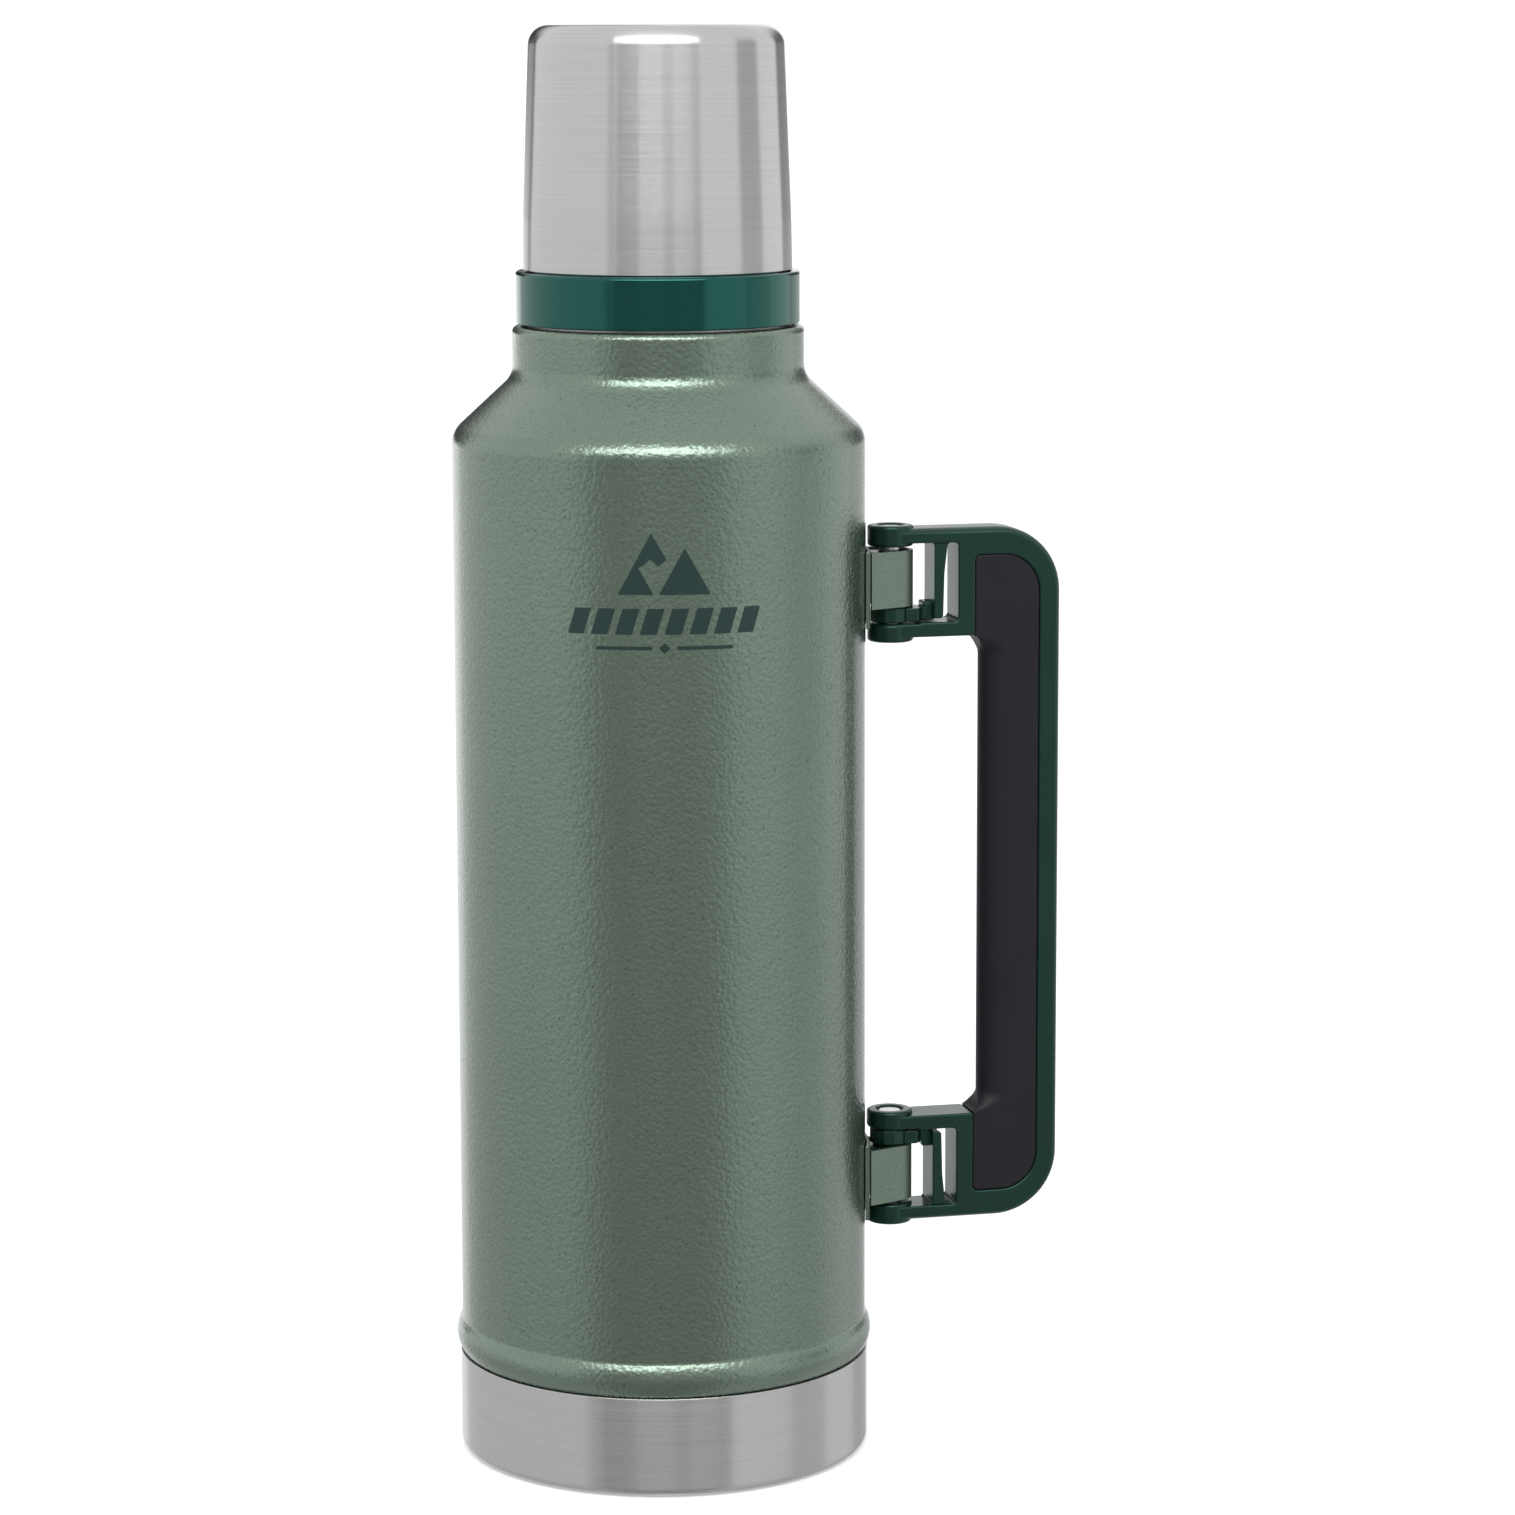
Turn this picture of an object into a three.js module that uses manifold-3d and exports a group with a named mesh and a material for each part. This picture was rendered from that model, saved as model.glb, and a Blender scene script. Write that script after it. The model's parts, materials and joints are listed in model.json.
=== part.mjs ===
// Vacuum flask with a screw-on cup, a screw-in stopper and a folding side handle.
// Millimetres, +Z up. The origin is on the bottle's axis, in the plane that the flask stands on.
// The handle points along +X. Touching pieces keep a gap of CLEARANCE between them.

import * as THREE from 'three';
import { mergeVertices } from 'three/addons/utils/BufferGeometryUtils.js';
import Module from 'manifold-3d';

const wasm = await Module();
wasm.setup();

// ---------------------------------------------------------------- driving dimensions
const CLEARANCE = 0.3;
const ROUND_SEGMENTS = 40;
const INNER_SEGMENTS = 32;
const SMALL_SEGMENTS = 24;

// Bottle
const BODY_RADIUS = 52.5;
const SHELL_WALL = 0.8;
const NECK_RADIUS = 37.0;
const NECK_TOP_Z = 291.0;
const NECK_RIM_ROUND = 1.8;
const SHOULDER_BASE_Z = 264.1;
const SHOULDER_TOP_Z = 278.4;
const SHOULDER_ROUND = 7.0;
const SHOULDER_FILLET = 6.0;
const BEAD_BOTTOM_Z = 25.8;
const BEAD_TOP_Z = 34.4;
const BEAD_HEIGHT = 1.4;
const BASE_CUP_RADIUS = 52.95;
const BASE_CUP_TOP_Z = 25.5;
const BASE_CUP_WALL = 0.6;
const BASE_CORNER = 2.2;
const BASE_RIM_INNER_RADIUS = 45.0;
const BASE_RECESS = 1.0;
const SHELL_FOOT_Z = 4.0;
const BOTTOM_DISC_Z = 9.8;
const BOTTOM_DISC_EDGE = 1.3;
const DIMPLE_DEPTH = 1.6;
const DIMPLE_RADIUS = 9.0;
const DIMPLE_SLOPE = 3.0;
const PUMP_HOLE_RADIUS = 2.0;
const GETTER_RADIUS = 5.4;
const GETTER_HEIGHT = 2.2;
const GETTER_X = 18.0;

// Inner bottle
const LINER_RADIUS = 48.0;
const LINER_WALL = 0.6;
const LINER_FLOOR_Z = 14.6;
const LINER_SHOULDER_Z = 257.0;
const LINER_SHOULDER_TOP_Z = 277.6;
const MOUTH_RADIUS = 26.9;
const MOUTH_RIM_Z = 300.0;
const SLEEVE_RADIUS = 33.0;
const SLEEVE_FOOT_Z = 285.0;

// Threads
const THREAD_PITCH = 4.0;
const THREAD_TURNS = 1.5;
const CUP_THREAD_CREST = 33.9;
const CUP_THREAD_Z = 292.9;
const COLLAR_THREAD_Z = 295.2;
const STOPPER_THREAD_CREST = 25.9;
const STOPPER_THREAD_Z = 285.4;
const MOUTH_THREAD_Z = 287.5;

// Cup
const OVERALL_HEIGHT = 365.8;
const COLLAR_RADIUS = 36.0;
const COLLAR_BOTTOM_Z = 291.5;
const COLLAR_TOP_Z = 304.7;
const COLLAR_BORE = 34.9;
const CUP_MOUTH_RADIUS = 34.2;
const CUP_TOP_RADIUS = 32.0;
const CUP_WALL = 0.6;
const CUP_CORNER = 5.0;
const CUP_INSULATION = 1.2;
const CUP_SHELF_Z = 304.2;
const CUP_SHELF_THICKNESS = 1.3;
const CUP_SHELF_BORE = 31.5;
const CUP_SPIGOT_TOP_Z = 310.0;
const CUP_SPIGOT_WALL = 1.1;
const CUP_GASKET_RADII = [30.9, 33.3];

// Stopper
const STEM_RADIUS = 25.2;
const STEM_BORE = 22.5;
const STEM_BOTTOM_Z = 266.0;
const STOPPER_BOTTOM_Z = 262.0;
const STOPPER_FLOOR = 2.0;
const STOPPER_BOSS_RADIUS = 20.5;
const FLANGE_RADIUS = 29.2;
const FLANGE_BOTTOM_Z = 301.8;
const FLANGE_TOP_Z = 303.8;
const KNOB_RADIUS = 26.5;
const KNOB_TOP_Z = 314.0;
const KNOB_WALL = 2.2;
const KNOB_CHAMFER = 1.5;
const KNOB_FLUTES = 12;
const FLUTE_RADIUS = 2.2;
const FLUTE_DEPTH = 1.1;
const GASKET_RADII = [20.8, 25.8];
const GASKET_THICKNESS = 3.1;
const RIM_SEAL_RADII = [25.6, 28.9];

// Handle
const PIVOT_X = 60.85;
const HANDLE_MID_Z = 146.4;
const FRAME_HALF_THICKNESS = 5.8;
const FRAME_OUTER_X = 105.2;
const FRAME_HALF_HEIGHT = 91.3;
const FRAME_CORNER = 16.9;
const FRAME_CROWN = 1.6;
const FRAME_CROWN_DEPTH = 2.6;
const KNUCKLE_RADIUS = 6.0;
const KNUCKLE_BORE = 3.4;
const OUTER_KNUCKLE = [86.6, 92.1];
const INNER_KNUCKLE = [61.9, 66.7];
const FORK_WINDOW = [67.0, 87.5];
const FORK_WINDOW_END_X = 77.6;
const FORK_INSIDE = 63.2;
const PANEL_X = [82.1, 99.5];
const PANEL_HALF_HEIGHT = 84.2;
const PANEL_CORNER = 9.8;
const PANEL_SMALL_CORNER = 1.5;
const GRIP_HALF_THICKNESS = 5.5;
const GRIP_INNER_X = 84.5;
const GRIP_FLAT_X = 92.0;

// Hinges, as heights above the handle's middle
const PIN_RADIUS = 3.05;
const PIN_SPAN = [62.3, 91.7];
const STRAP_SPAN = [71.1, 85.7];
const STRAP_LOOP_RADIUS = 5.85;
const STRAP_THICKNESS = 1.2;
const STRAP_LEG_ANGLE = 22 * Math.PI / 180;
const STRAP_FOOT_X = 53.5;
const CAM_SPAN = [67.0, 70.8];
const CAM_RADIUS = 5.3;
const CAM_FACETS = 12;
const CAM_KEY_HALF_WIDTH = 4.2;
const CAM_KEY_X = 55.2;
const PLATE_SPAN = [67.4, 87.1];
const PLATE_THICKNESS = 0.9;
const PLATE_HALF_ANGLE = 20 * Math.PI / 180;
const LOCK_STRIP_X = [71.3, 74.0];
const LOCK_STRIP_HALF_WIDTH = 5.1;
const LOCK_SHOE_SPAN = [67.25, 70.7];
const LOCK_LINK_TOP = 72.1;
const LOCK_SHOE_REACH = 60 * Math.PI / 180;
const LOCK_SHOE_BACK_X = 68.6;
const LOCK_NECK_HALF_WIDTH = 4.4;
const LOCK_LINK_X = 69.0;
const LOCK_LINK_HALF_WIDTH = 3.8;

// ---------------------------------------------------------------- finishes
const FINISHES = {
  hammertone: { color: 0x74857a, metalness: 0.5, roughness: 0.42 },
  brushedSteel: { color: 0xb9b9b8, metalness: 1.0, roughness: 0.32 },
  glossGreen: { color: 0x17513f, metalness: 0.0, roughness: 0.15 },
  satinGreen: { color: 0x24402f, metalness: 0.0, roughness: 0.4 },
  charcoal: { color: 0x2e2e34, metalness: 0.0, roughness: 0.75 },
  brightSteel: { color: 0xd6d4ce, metalness: 1.0, roughness: 0.2 },
  blackPlastic: { color: 0x1d1f1e, metalness: 0.0, roughness: 0.45 },
  silicone: { color: 0xd8d8d2, metalness: 0.0, roughness: 0.6 },
  foam: { color: 0xe6e2d4, metalness: 0.0, roughness: 0.9 },
  sealGlass: { color: 0x8b8f93, metalness: 0.3, roughness: 0.4 },
};

// ---------------------------------------------------------------- outlines
/** Points of an arc from one angle to another, in degrees, both ends included. */
function arc(centerX, centerY, radius, fromDegrees, toDegrees, steps) {
  const points = [];
  for (let i = 0; i <= steps; i += 1) {
    const angle = THREE.MathUtils.degToRad(fromDegrees + (toDegrees - fromDegrees) * i / steps);
    points.push([centerX + radius * Math.cos(angle), centerY + radius * Math.sin(angle)]);
  }
  return points;
}

/** A closed outline from corners [x, y, round], each round replaced by a tangent arc. */
function rounded(corners, stepDegrees = 24) {
  const points = [];
  corners.forEach(([x, y, round = 0], i) => {
    if (round === 0) {
      points.push([x, y]);
      return;
    }
    const here = new THREE.Vector2(x, y);
    const before = corners[(i + corners.length - 1) % corners.length];
    const after = corners[(i + 1) % corners.length];
    const back = new THREE.Vector2(before[0], before[1]).sub(here).normalize();
    const ahead = new THREE.Vector2(after[0], after[1]).sub(here).normalize();
    const turn = Math.PI - Math.acos(THREE.MathUtils.clamp(back.dot(ahead), -1, 1));
    const tangent = round * Math.tan(turn / 2);
    const start = here.clone().addScaledVector(back, tangent);
    const end = here.clone().addScaledVector(ahead, tangent);
    const middle = back.clone().add(ahead).normalize();
    const center = here.clone().addScaledVector(middle, Math.hypot(round, tangent));
    const from = start.clone().sub(center);
    const sweep = Math.sign(from.cross(end.clone().sub(center))) * turn;
    const steps = Math.max(2, Math.round(THREE.MathUtils.radToDeg(turn) / stepDegrees));
    for (let k = 0; k <= steps; k += 1) {
      const p = from.clone().rotateAround(new THREE.Vector2(), sweep * k / steps).add(center);
      points.push([p.x, p.y]);
    }
  });
  return points;
}

/** Twice the signed area of an outline, positive when it runs anticlockwise. */
function signedArea(points) {
  return points.reduce((sum, [x, y], i) => {
    const [nextX, nextY] = points[(i + 1) % points.length];
    return sum + x * nextY - nextX * y;
  }, 0);
}

// ---------------------------------------------------------------- solids
/** Joins equal vertices and drops the triangles that have no area left. */
function welded(geometry) {
  const bare = geometry.index ? geometry : geometry.clone();
  bare.deleteAttribute('normal');
  bare.deleteAttribute('uv');
  const merged = mergeVertices(bare, 1e-5);
  const index = merged.getIndex().array;
  const kept = [];
  for (let i = 0; i < index.length; i += 3) {
    const [a, b, c] = [index[i], index[i + 1], index[i + 2]];
    if (a !== b && b !== c && c !== a) {
      kept.push(a, b, c);
    }
  }
  merged.setIndex(kept);
  return merged;
}

/** Turns a closed geometry into a solid that can be joined and cut. */
function toSolid(geometry) {
  const merged = welded(geometry);
  return new wasm.Manifold(new wasm.Mesh({
    numProp: 3,
    vertProperties: Float32Array.from(merged.getAttribute('position').array),
    triVerts: Uint32Array.from(merged.getIndex().array),
  }));
}

/** Turns a solid back into a geometry. */
function toGeometry(solid) {
  const mesh = solid.getMesh();
  const geometry = new THREE.BufferGeometry();
  geometry.setAttribute('position', new THREE.BufferAttribute(mesh.vertProperties, 3));
  geometry.setIndex(new THREE.BufferAttribute(mesh.triVerts, 1));
  return geometry;
}

/** Revolves an outline of [radius, height] points round +Z. A closed outline makes a ring. */
function revolve(outline, { ring = false, segments = ROUND_SEGMENTS } = {}) {
  const ordered = signedArea(outline) > 0 ? outline : [...outline].reverse();
  const points = ordered.map(([r, z]) => new THREE.Vector2(r, z));
  if (ring) {
    points.push(points[0].clone());
  }
  const geometry = new THREE.LatheGeometry(points, segments);
  geometry.rotateX(Math.PI / 2);
  return welded(geometry);
}

/** A ring with a rectangular section. */
function ringOf(innerRadius, outerRadius, bottom, top) {
  const outline = [[innerRadius, bottom], [outerRadius, bottom], [outerRadius, top], [innerRadius, top]];
  return revolve(outline, { ring: true, segments: INNER_SEGMENTS });
}

/** A plain upright cylinder whose axis stands at x. */
function post(radius, bottom, top, x = 0, segments = SMALL_SEGMENTS) {
  const geometry = new THREE.CylinderGeometry(radius, radius, top - bottom, segments);
  geometry.rotateX(Math.PI / 2);
  geometry.translate(x, 0, (bottom + top) / 2);
  return geometry;
}

/** A box given by its lowest and highest corners. */
function block([x0, y0, z0], [x1, y1, z1]) {
  const geometry = new THREE.BoxGeometry(x1 - x0, y1 - y0, z1 - z0);
  geometry.translate((x0 + x1) / 2, (y0 + y1) / 2, (z0 + z1) / 2);
  return geometry;
}

/** Extrudes a plan outline of [x, y] points from one height to another. */
function uprightPrism(outline, bottom, top) {
  const shape = new THREE.Shape(outline.map(([x, y]) => new THREE.Vector2(x, y)));
  const geometry = new THREE.ExtrudeGeometry(shape, { depth: top - bottom, bevelEnabled: false });
  geometry.translate(0, 0, bottom);
  return geometry;
}

/** Extrudes a side outline of [x, z] points to both sides of the handle's plane. */
function sidePrism(outline, halfThickness, crown = 0, crownDepth = 0) {
  const shape = new THREE.Shape(outline.map(([x, z]) => new THREE.Vector2(x, z)));
  const depth = 2 * (halfThickness - crownDepth);
  const geometry = new THREE.ExtrudeGeometry(shape, {
    depth,
    bevelEnabled: crown > 0,
    bevelSize: crown,
    bevelOffset: -crown,
    bevelThickness: crownDepth,
    bevelSegments: 2,
  });
  geometry.translate(0, 0, -depth / 2);
  geometry.rotateX(Math.PI / 2);
  return geometry;
}

/** One ridge of a screw thread. It fades out at both ends and its foot is sunk into the wall. */
function threadRidge({ footRadius, crestRadius, bottom, footHalf = 1.0, crestHalf = 0.4 }) {
  const steps = Math.round(THREAD_TURNS * SMALL_SEGMENTS);
  const positions = [];
  const index = [];
  for (let i = 0; i <= steps; i += 1) {
    const angle = THREAD_TURNS * 2 * Math.PI * i / steps;
    const z = bottom + THREAD_PITCH * THREAD_TURNS * i / steps;
    const fade = Math.min(1, Math.min(i, steps - i) / 3 + 0.15);
    const crest = footRadius + (crestRadius - footRadius) * fade;
    const lowerHalf = [[footRadius, -footHalf], [crest, -crestHalf]];
    const upperHalf = [[crest, crestHalf], [footRadius, footHalf]];
    for (const [r, dz] of [...lowerHalf, ...upperHalf]) {
      positions.push(r * Math.cos(angle), r * Math.sin(angle), z + dz);
    }
  }
  const flip = crestRadius < footRadius;
  const quad = (a, b, c, d) => index.push(...(flip ? [a, c, b, a, d, c] : [a, b, c, a, c, d]));
  for (let i = 0; i < steps; i += 1) {
    for (let k = 0; k < 4; k += 1) {
      const a = 4 * i + k;
      const b = 4 * i + (k + 1) % 4;
      quad(b, a, a + 4, b + 4);
    }
  }
  quad(0, 1, 2, 3);
  quad(4 * steps + 3, 4 * steps + 2, 4 * steps + 1, 4 * steps);
  const geometry = new THREE.BufferGeometry();
  geometry.setAttribute('position', new THREE.Float32BufferAttribute(positions, 3));
  geometry.setIndex(index);
  return geometry;
}

/** Joins geometries into one solid, then cuts others from it. */
function carve(joined, removed = []) {
  let solid = toSolid(joined[0]);
  for (const geometry of joined.slice(1)) {
    solid = solid.add(toSolid(geometry));
  }
  for (const geometry of removed) {
    solid = solid.subtract(toSolid(geometry));
  }
  return toGeometry(solid);
}

// ---------------------------------------------------------------- the flask
const flask = new THREE.Group();

/** Adds one named piece with a finish of its own to a group. */
function addPiece(group, name, finish, geometry) {
  const mesh = new THREE.Mesh(geometry, new THREE.MeshStandardMaterial(FINISHES[finish]));
  mesh.name = name;
  group.add(mesh);
}

/** How far a corner of the shoulder's cone moves down when the wall is offset inwards. */
function shoulderDrop(wall) {
  const coneTurn = Math.atan2(BODY_RADIUS - NECK_RADIUS, SHOULDER_TOP_Z - SHOULDER_BASE_Z);
  return wall * Math.tan(coneTurn / 2);
}

function outerShell() {
  const beadHalf = (BEAD_TOP_Z - BEAD_BOTTOM_Z) / 2;
  const beadRound = (beadHalf ** 2 + BEAD_HEIGHT ** 2) / (2 * BEAD_HEIGHT);
  const beadAngle = THREE.MathUtils.radToDeg(Math.asin(beadHalf / beadRound));
  const bead = arc(BODY_RADIUS + BEAD_HEIGHT - beadRound, BEAD_BOTTOM_Z + beadHalf, beadRound,
    -beadAngle, beadAngle, 5);
  const footRadius = BASE_CUP_RADIUS - BASE_CUP_WALL - CLEARANCE;
  const insideNeck = NECK_RADIUS - SHELL_WALL;
  const insideBody = BODY_RADIUS - SHELL_WALL;
  const drop = shoulderDrop(SHELL_WALL);
  const lipRadius = SLEEVE_RADIUS + CLEARANCE;
  return revolve(rounded([
    [footRadius, SHELL_FOOT_Z],
    [footRadius, BASE_CUP_TOP_Z],
    ...bead,
    [BODY_RADIUS, SHOULDER_BASE_Z, SHOULDER_ROUND],
    [NECK_RADIUS, SHOULDER_TOP_Z, SHOULDER_FILLET],
    [NECK_RADIUS, NECK_TOP_Z, NECK_RIM_ROUND],
    [lipRadius, NECK_TOP_Z],
    [lipRadius, NECK_TOP_Z - SHELL_WALL],
    [insideNeck, NECK_TOP_Z - SHELL_WALL],
    [insideNeck, SHOULDER_TOP_Z - drop, SHOULDER_FILLET],
    [insideBody, SHOULDER_BASE_Z - drop, SHOULDER_ROUND - SHELL_WALL],
    [insideBody, BEAD_TOP_Z],
    [footRadius - SHELL_WALL, BASE_CUP_TOP_Z],
    [footRadius - SHELL_WALL, SHELL_FOOT_Z],
  ]), { ring: true });
}

function baseCup() {
  const inside = BASE_CUP_RADIUS - BASE_CUP_WALL;
  const stepWidth = 1.5;
  return revolve(rounded([
    [0, BASE_RECESS],
    [BASE_RIM_INNER_RADIUS - stepWidth, BASE_RECESS],
    [BASE_RIM_INNER_RADIUS, 0],
    [BASE_CUP_RADIUS, 0, BASE_CORNER],
    [BASE_CUP_RADIUS, BASE_CUP_TOP_Z],
    [inside, BASE_CUP_TOP_Z],
    [inside, BASE_CUP_WALL, BASE_CORNER - BASE_CUP_WALL],
    [BASE_RIM_INNER_RADIUS, BASE_CUP_WALL],
    [BASE_RIM_INNER_RADIUS - stepWidth, BASE_RECESS + BASE_CUP_WALL],
    [0, BASE_RECESS + BASE_CUP_WALL],
  ], 45));
}

function shellBottom() {
  const rimRadius = BASE_CUP_RADIUS - BASE_CUP_WALL - SHELL_WALL - 2 * CLEARANCE;
  const top = BOTTOM_DISC_Z;
  const dimpleTop = top - DIMPLE_DEPTH;
  const slopeEnd = DIMPLE_RADIUS + DIMPLE_SLOPE;
  const innerEdge = SHELL_WALL + BOTTOM_DISC_EDGE / 2;
  return revolve([
    [rimRadius, SHELL_FOOT_Z],
    [rimRadius, top - BOTTOM_DISC_EDGE],
    [rimRadius - BOTTOM_DISC_EDGE, top],
    [slopeEnd, top],
    [DIMPLE_RADIUS, dimpleTop],
    [PUMP_HOLE_RADIUS, dimpleTop],
    [PUMP_HOLE_RADIUS, dimpleTop - SHELL_WALL],
    [DIMPLE_RADIUS, dimpleTop - SHELL_WALL],
    [slopeEnd, top - SHELL_WALL],
    [rimRadius - innerEdge, top - SHELL_WALL],
    [rimRadius - SHELL_WALL, top - innerEdge],
    [rimRadius - SHELL_WALL, SHELL_FOOT_Z],
  ], { ring: true, segments: INNER_SEGMENTS });
}

function vacuumSeal() {
  const radius = PUMP_HOLE_RADIUS - CLEARANCE;
  const dimpleTop = BOTTOM_DISC_Z - DIMPLE_DEPTH;
  const hang = SHELL_WALL * 2;
  return revolve([
    [0, dimpleTop - hang],
    [radius * 0.7, dimpleTop - hang * 0.9],
    [radius, dimpleTop - hang * 0.55],
    [radius, dimpleTop + 0.2],
    [0, dimpleTop + 0.4],
  ], { segments: SMALL_SEGMENTS });
}

function getter() {
  const bottom = BOTTOM_DISC_Z + 1.4;
  const edge = 0.7;
  const capsule = revolve([
    [0, bottom],
    [GETTER_RADIUS - edge, bottom],
    [GETTER_RADIUS, bottom + edge],
    [GETTER_RADIUS, bottom + GETTER_HEIGHT],
    [0, bottom + GETTER_HEIGHT],
  ], { segments: SMALL_SEGMENTS });
  capsule.translate(GETTER_X, 0, 0);
  return capsule;
}

function innerLiner() {
  const outside = LINER_RADIUS + LINER_WALL;
  const neckOutside = MOUTH_RADIUS + LINER_WALL;
  const floor = LINER_FLOOR_Z;
  const wall = revolve(rounded([
    [0, floor - LINER_WALL],
    [outside, floor - LINER_WALL, 7],
    [outside, LINER_SHOULDER_Z, 7],
    [neckOutside, LINER_SHOULDER_TOP_Z, 4],
    [neckOutside, MOUTH_RIM_Z],
    [MOUTH_RADIUS, MOUTH_RIM_Z],
    [MOUTH_RADIUS, LINER_SHOULDER_TOP_Z, 4],
    [LINER_RADIUS, LINER_SHOULDER_Z, 7],
    [LINER_RADIUS, floor, 6.4],
    [0, floor],
  ], 40), { segments: INNER_SEGMENTS });
  const ridge = threadRidge({
    footRadius: MOUTH_RADIUS + CLEARANCE,
    crestRadius: STOPPER_THREAD_CREST + CLEARANCE,
    bottom: MOUTH_THREAD_Z,
  });
  return carve([wall, ridge]);
}

function neckSleeve() {
  const inside = SLEEVE_RADIUS - SHELL_WALL;
  const lipRadius = MOUTH_RADIUS + LINER_WALL + CLEARANCE;
  const wall = revolve(rounded([
    [SLEEVE_RADIUS, SLEEVE_FOOT_Z],
    [SLEEVE_RADIUS, MOUTH_RIM_Z, 1.0],
    [lipRadius, MOUTH_RIM_Z],
    [lipRadius, MOUTH_RIM_Z - SHELL_WALL],
    [inside, MOUTH_RIM_Z - SHELL_WALL],
    [inside, SLEEVE_FOOT_Z],
  ], 45), { ring: true, segments: INNER_SEGMENTS });
  const ridge = threadRidge({
    footRadius: SLEEVE_RADIUS - CLEARANCE,
    crestRadius: CUP_THREAD_CREST,
    bottom: CUP_THREAD_Z,
  });
  return carve([wall, ridge]);
}

function cupCollar() {
  const spigotOuter = CUP_MOUTH_RADIUS - CUP_WALL - CLEARANCE - 0.2;
  const spigotInner = spigotOuter - CUP_SPIGOT_WALL;
  const shelfTop = CUP_SHELF_Z + CUP_SHELF_THICKNESS;
  const body = revolve(rounded([
    [COLLAR_BORE, COLLAR_BOTTOM_Z],
    [COLLAR_RADIUS, COLLAR_BOTTOM_Z, 0.5],
    [COLLAR_RADIUS - 0.1, COLLAR_TOP_Z, 1.0],
    [spigotOuter, COLLAR_TOP_Z],
    [spigotOuter, CUP_SPIGOT_TOP_Z],
    [spigotInner, CUP_SPIGOT_TOP_Z],
    [spigotInner, shelfTop],
    [CUP_SHELF_BORE, shelfTop],
    [CUP_SHELF_BORE, CUP_SHELF_Z],
    [COLLAR_BORE, CUP_SHELF_Z],
  ], 45), { ring: true });
  const ridge = threadRidge({
    footRadius: COLLAR_BORE + CLEARANCE,
    crestRadius: CUP_THREAD_CREST + CLEARANCE,
    bottom: COLLAR_THREAD_Z,
    footHalf: 0.9,
  });
  return carve([body, ridge]);
}

/** A drinking cup's wall, mouth down, offset inwards by depth from the cup's outside. */
function cupWall(depth, wall, mouthZ, segments) {
  const mouth = CUP_MOUTH_RADIUS - depth;
  const top = CUP_TOP_RADIUS - depth;
  const height = OVERALL_HEIGHT - depth;
  const corner = CUP_CORNER - depth * 0.5;
  return revolve(rounded([
    [0, height],
    [top, height, corner],
    [mouth, mouthZ],
    [mouth - wall, mouthZ],
    [top - wall, height - wall, corner - wall],
    [0, height - wall],
  ], 30), { segments });
}

function stopperBody() {
  const plug = revolve([
    [0, STOPPER_BOTTOM_Z],
    [STOPPER_BOSS_RADIUS, STOPPER_BOTTOM_Z],
    [STOPPER_BOSS_RADIUS, STEM_BOTTOM_Z],
    [STEM_RADIUS, STEM_BOTTOM_Z],
    [STEM_RADIUS, FLANGE_BOTTOM_Z],
    [FLANGE_RADIUS, FLANGE_BOTTOM_Z],
    [FLANGE_RADIUS, FLANGE_TOP_Z],
    [STEM_BORE, FLANGE_TOP_Z],
    [STEM_BORE, STEM_BOTTOM_Z + STOPPER_FLOOR],
    [0, STEM_BOTTOM_Z + STOPPER_FLOOR],
  ], { segments: INNER_SEGMENTS });
  const ridge = threadRidge({
    footRadius: STEM_RADIUS - CLEARANCE,
    crestRadius: STOPPER_THREAD_CREST,
    bottom: STOPPER_THREAD_Z,
  });
  return carve([plug, ridge]);
}

function stopperCap() {
  const bottom = FLANGE_TOP_Z + CLEARANCE;
  const cap = revolve([
    [0, KNOB_TOP_Z - KNOB_WALL],
    [KNOB_RADIUS - 2 * KNOB_WALL, KNOB_TOP_Z - KNOB_WALL],
    [KNOB_RADIUS - 2 * KNOB_WALL, bottom],
    [KNOB_RADIUS, bottom],
    [KNOB_RADIUS, KNOB_TOP_Z - KNOB_CHAMFER],
    [KNOB_RADIUS - KNOB_CHAMFER, KNOB_TOP_Z],
    [0, KNOB_TOP_Z],
  ]);
  const flutes = [];
  for (let i = 0; i < KNOB_FLUTES; i += 1) {
    const fluteX = KNOB_RADIUS + FLUTE_RADIUS - FLUTE_DEPTH;
    const flute = post(FLUTE_RADIUS, bottom - 1, KNOB_TOP_Z + 1, fluteX, 10);
    flute.rotateZ(2 * Math.PI * i / KNOB_FLUTES);
    flutes.push(flute);
  }
  return carve([cap], flutes);
}

function stopperInsulation() {
  const bottom = STEM_BOTTOM_Z + STOPPER_FLOOR + CLEARANCE;
  const radius = STEM_BORE - CLEARANCE;
  const top = FLANGE_TOP_Z - 0.8;
  return revolve([[0, bottom], [radius, bottom], [radius, top], [0, top]], { segments: INNER_SEGMENTS });
}

// ---------------------------------------------------------------- the handle
/** Heights above the handle's middle become heights on the upper or the mirrored lower side. */
function heights([low, high], side) {
  return side > 0 ? [HANDLE_MID_Z + low, HANDLE_MID_Z + high] : [HANDLE_MID_Z - high, HANDLE_MID_Z - low];
}

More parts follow.
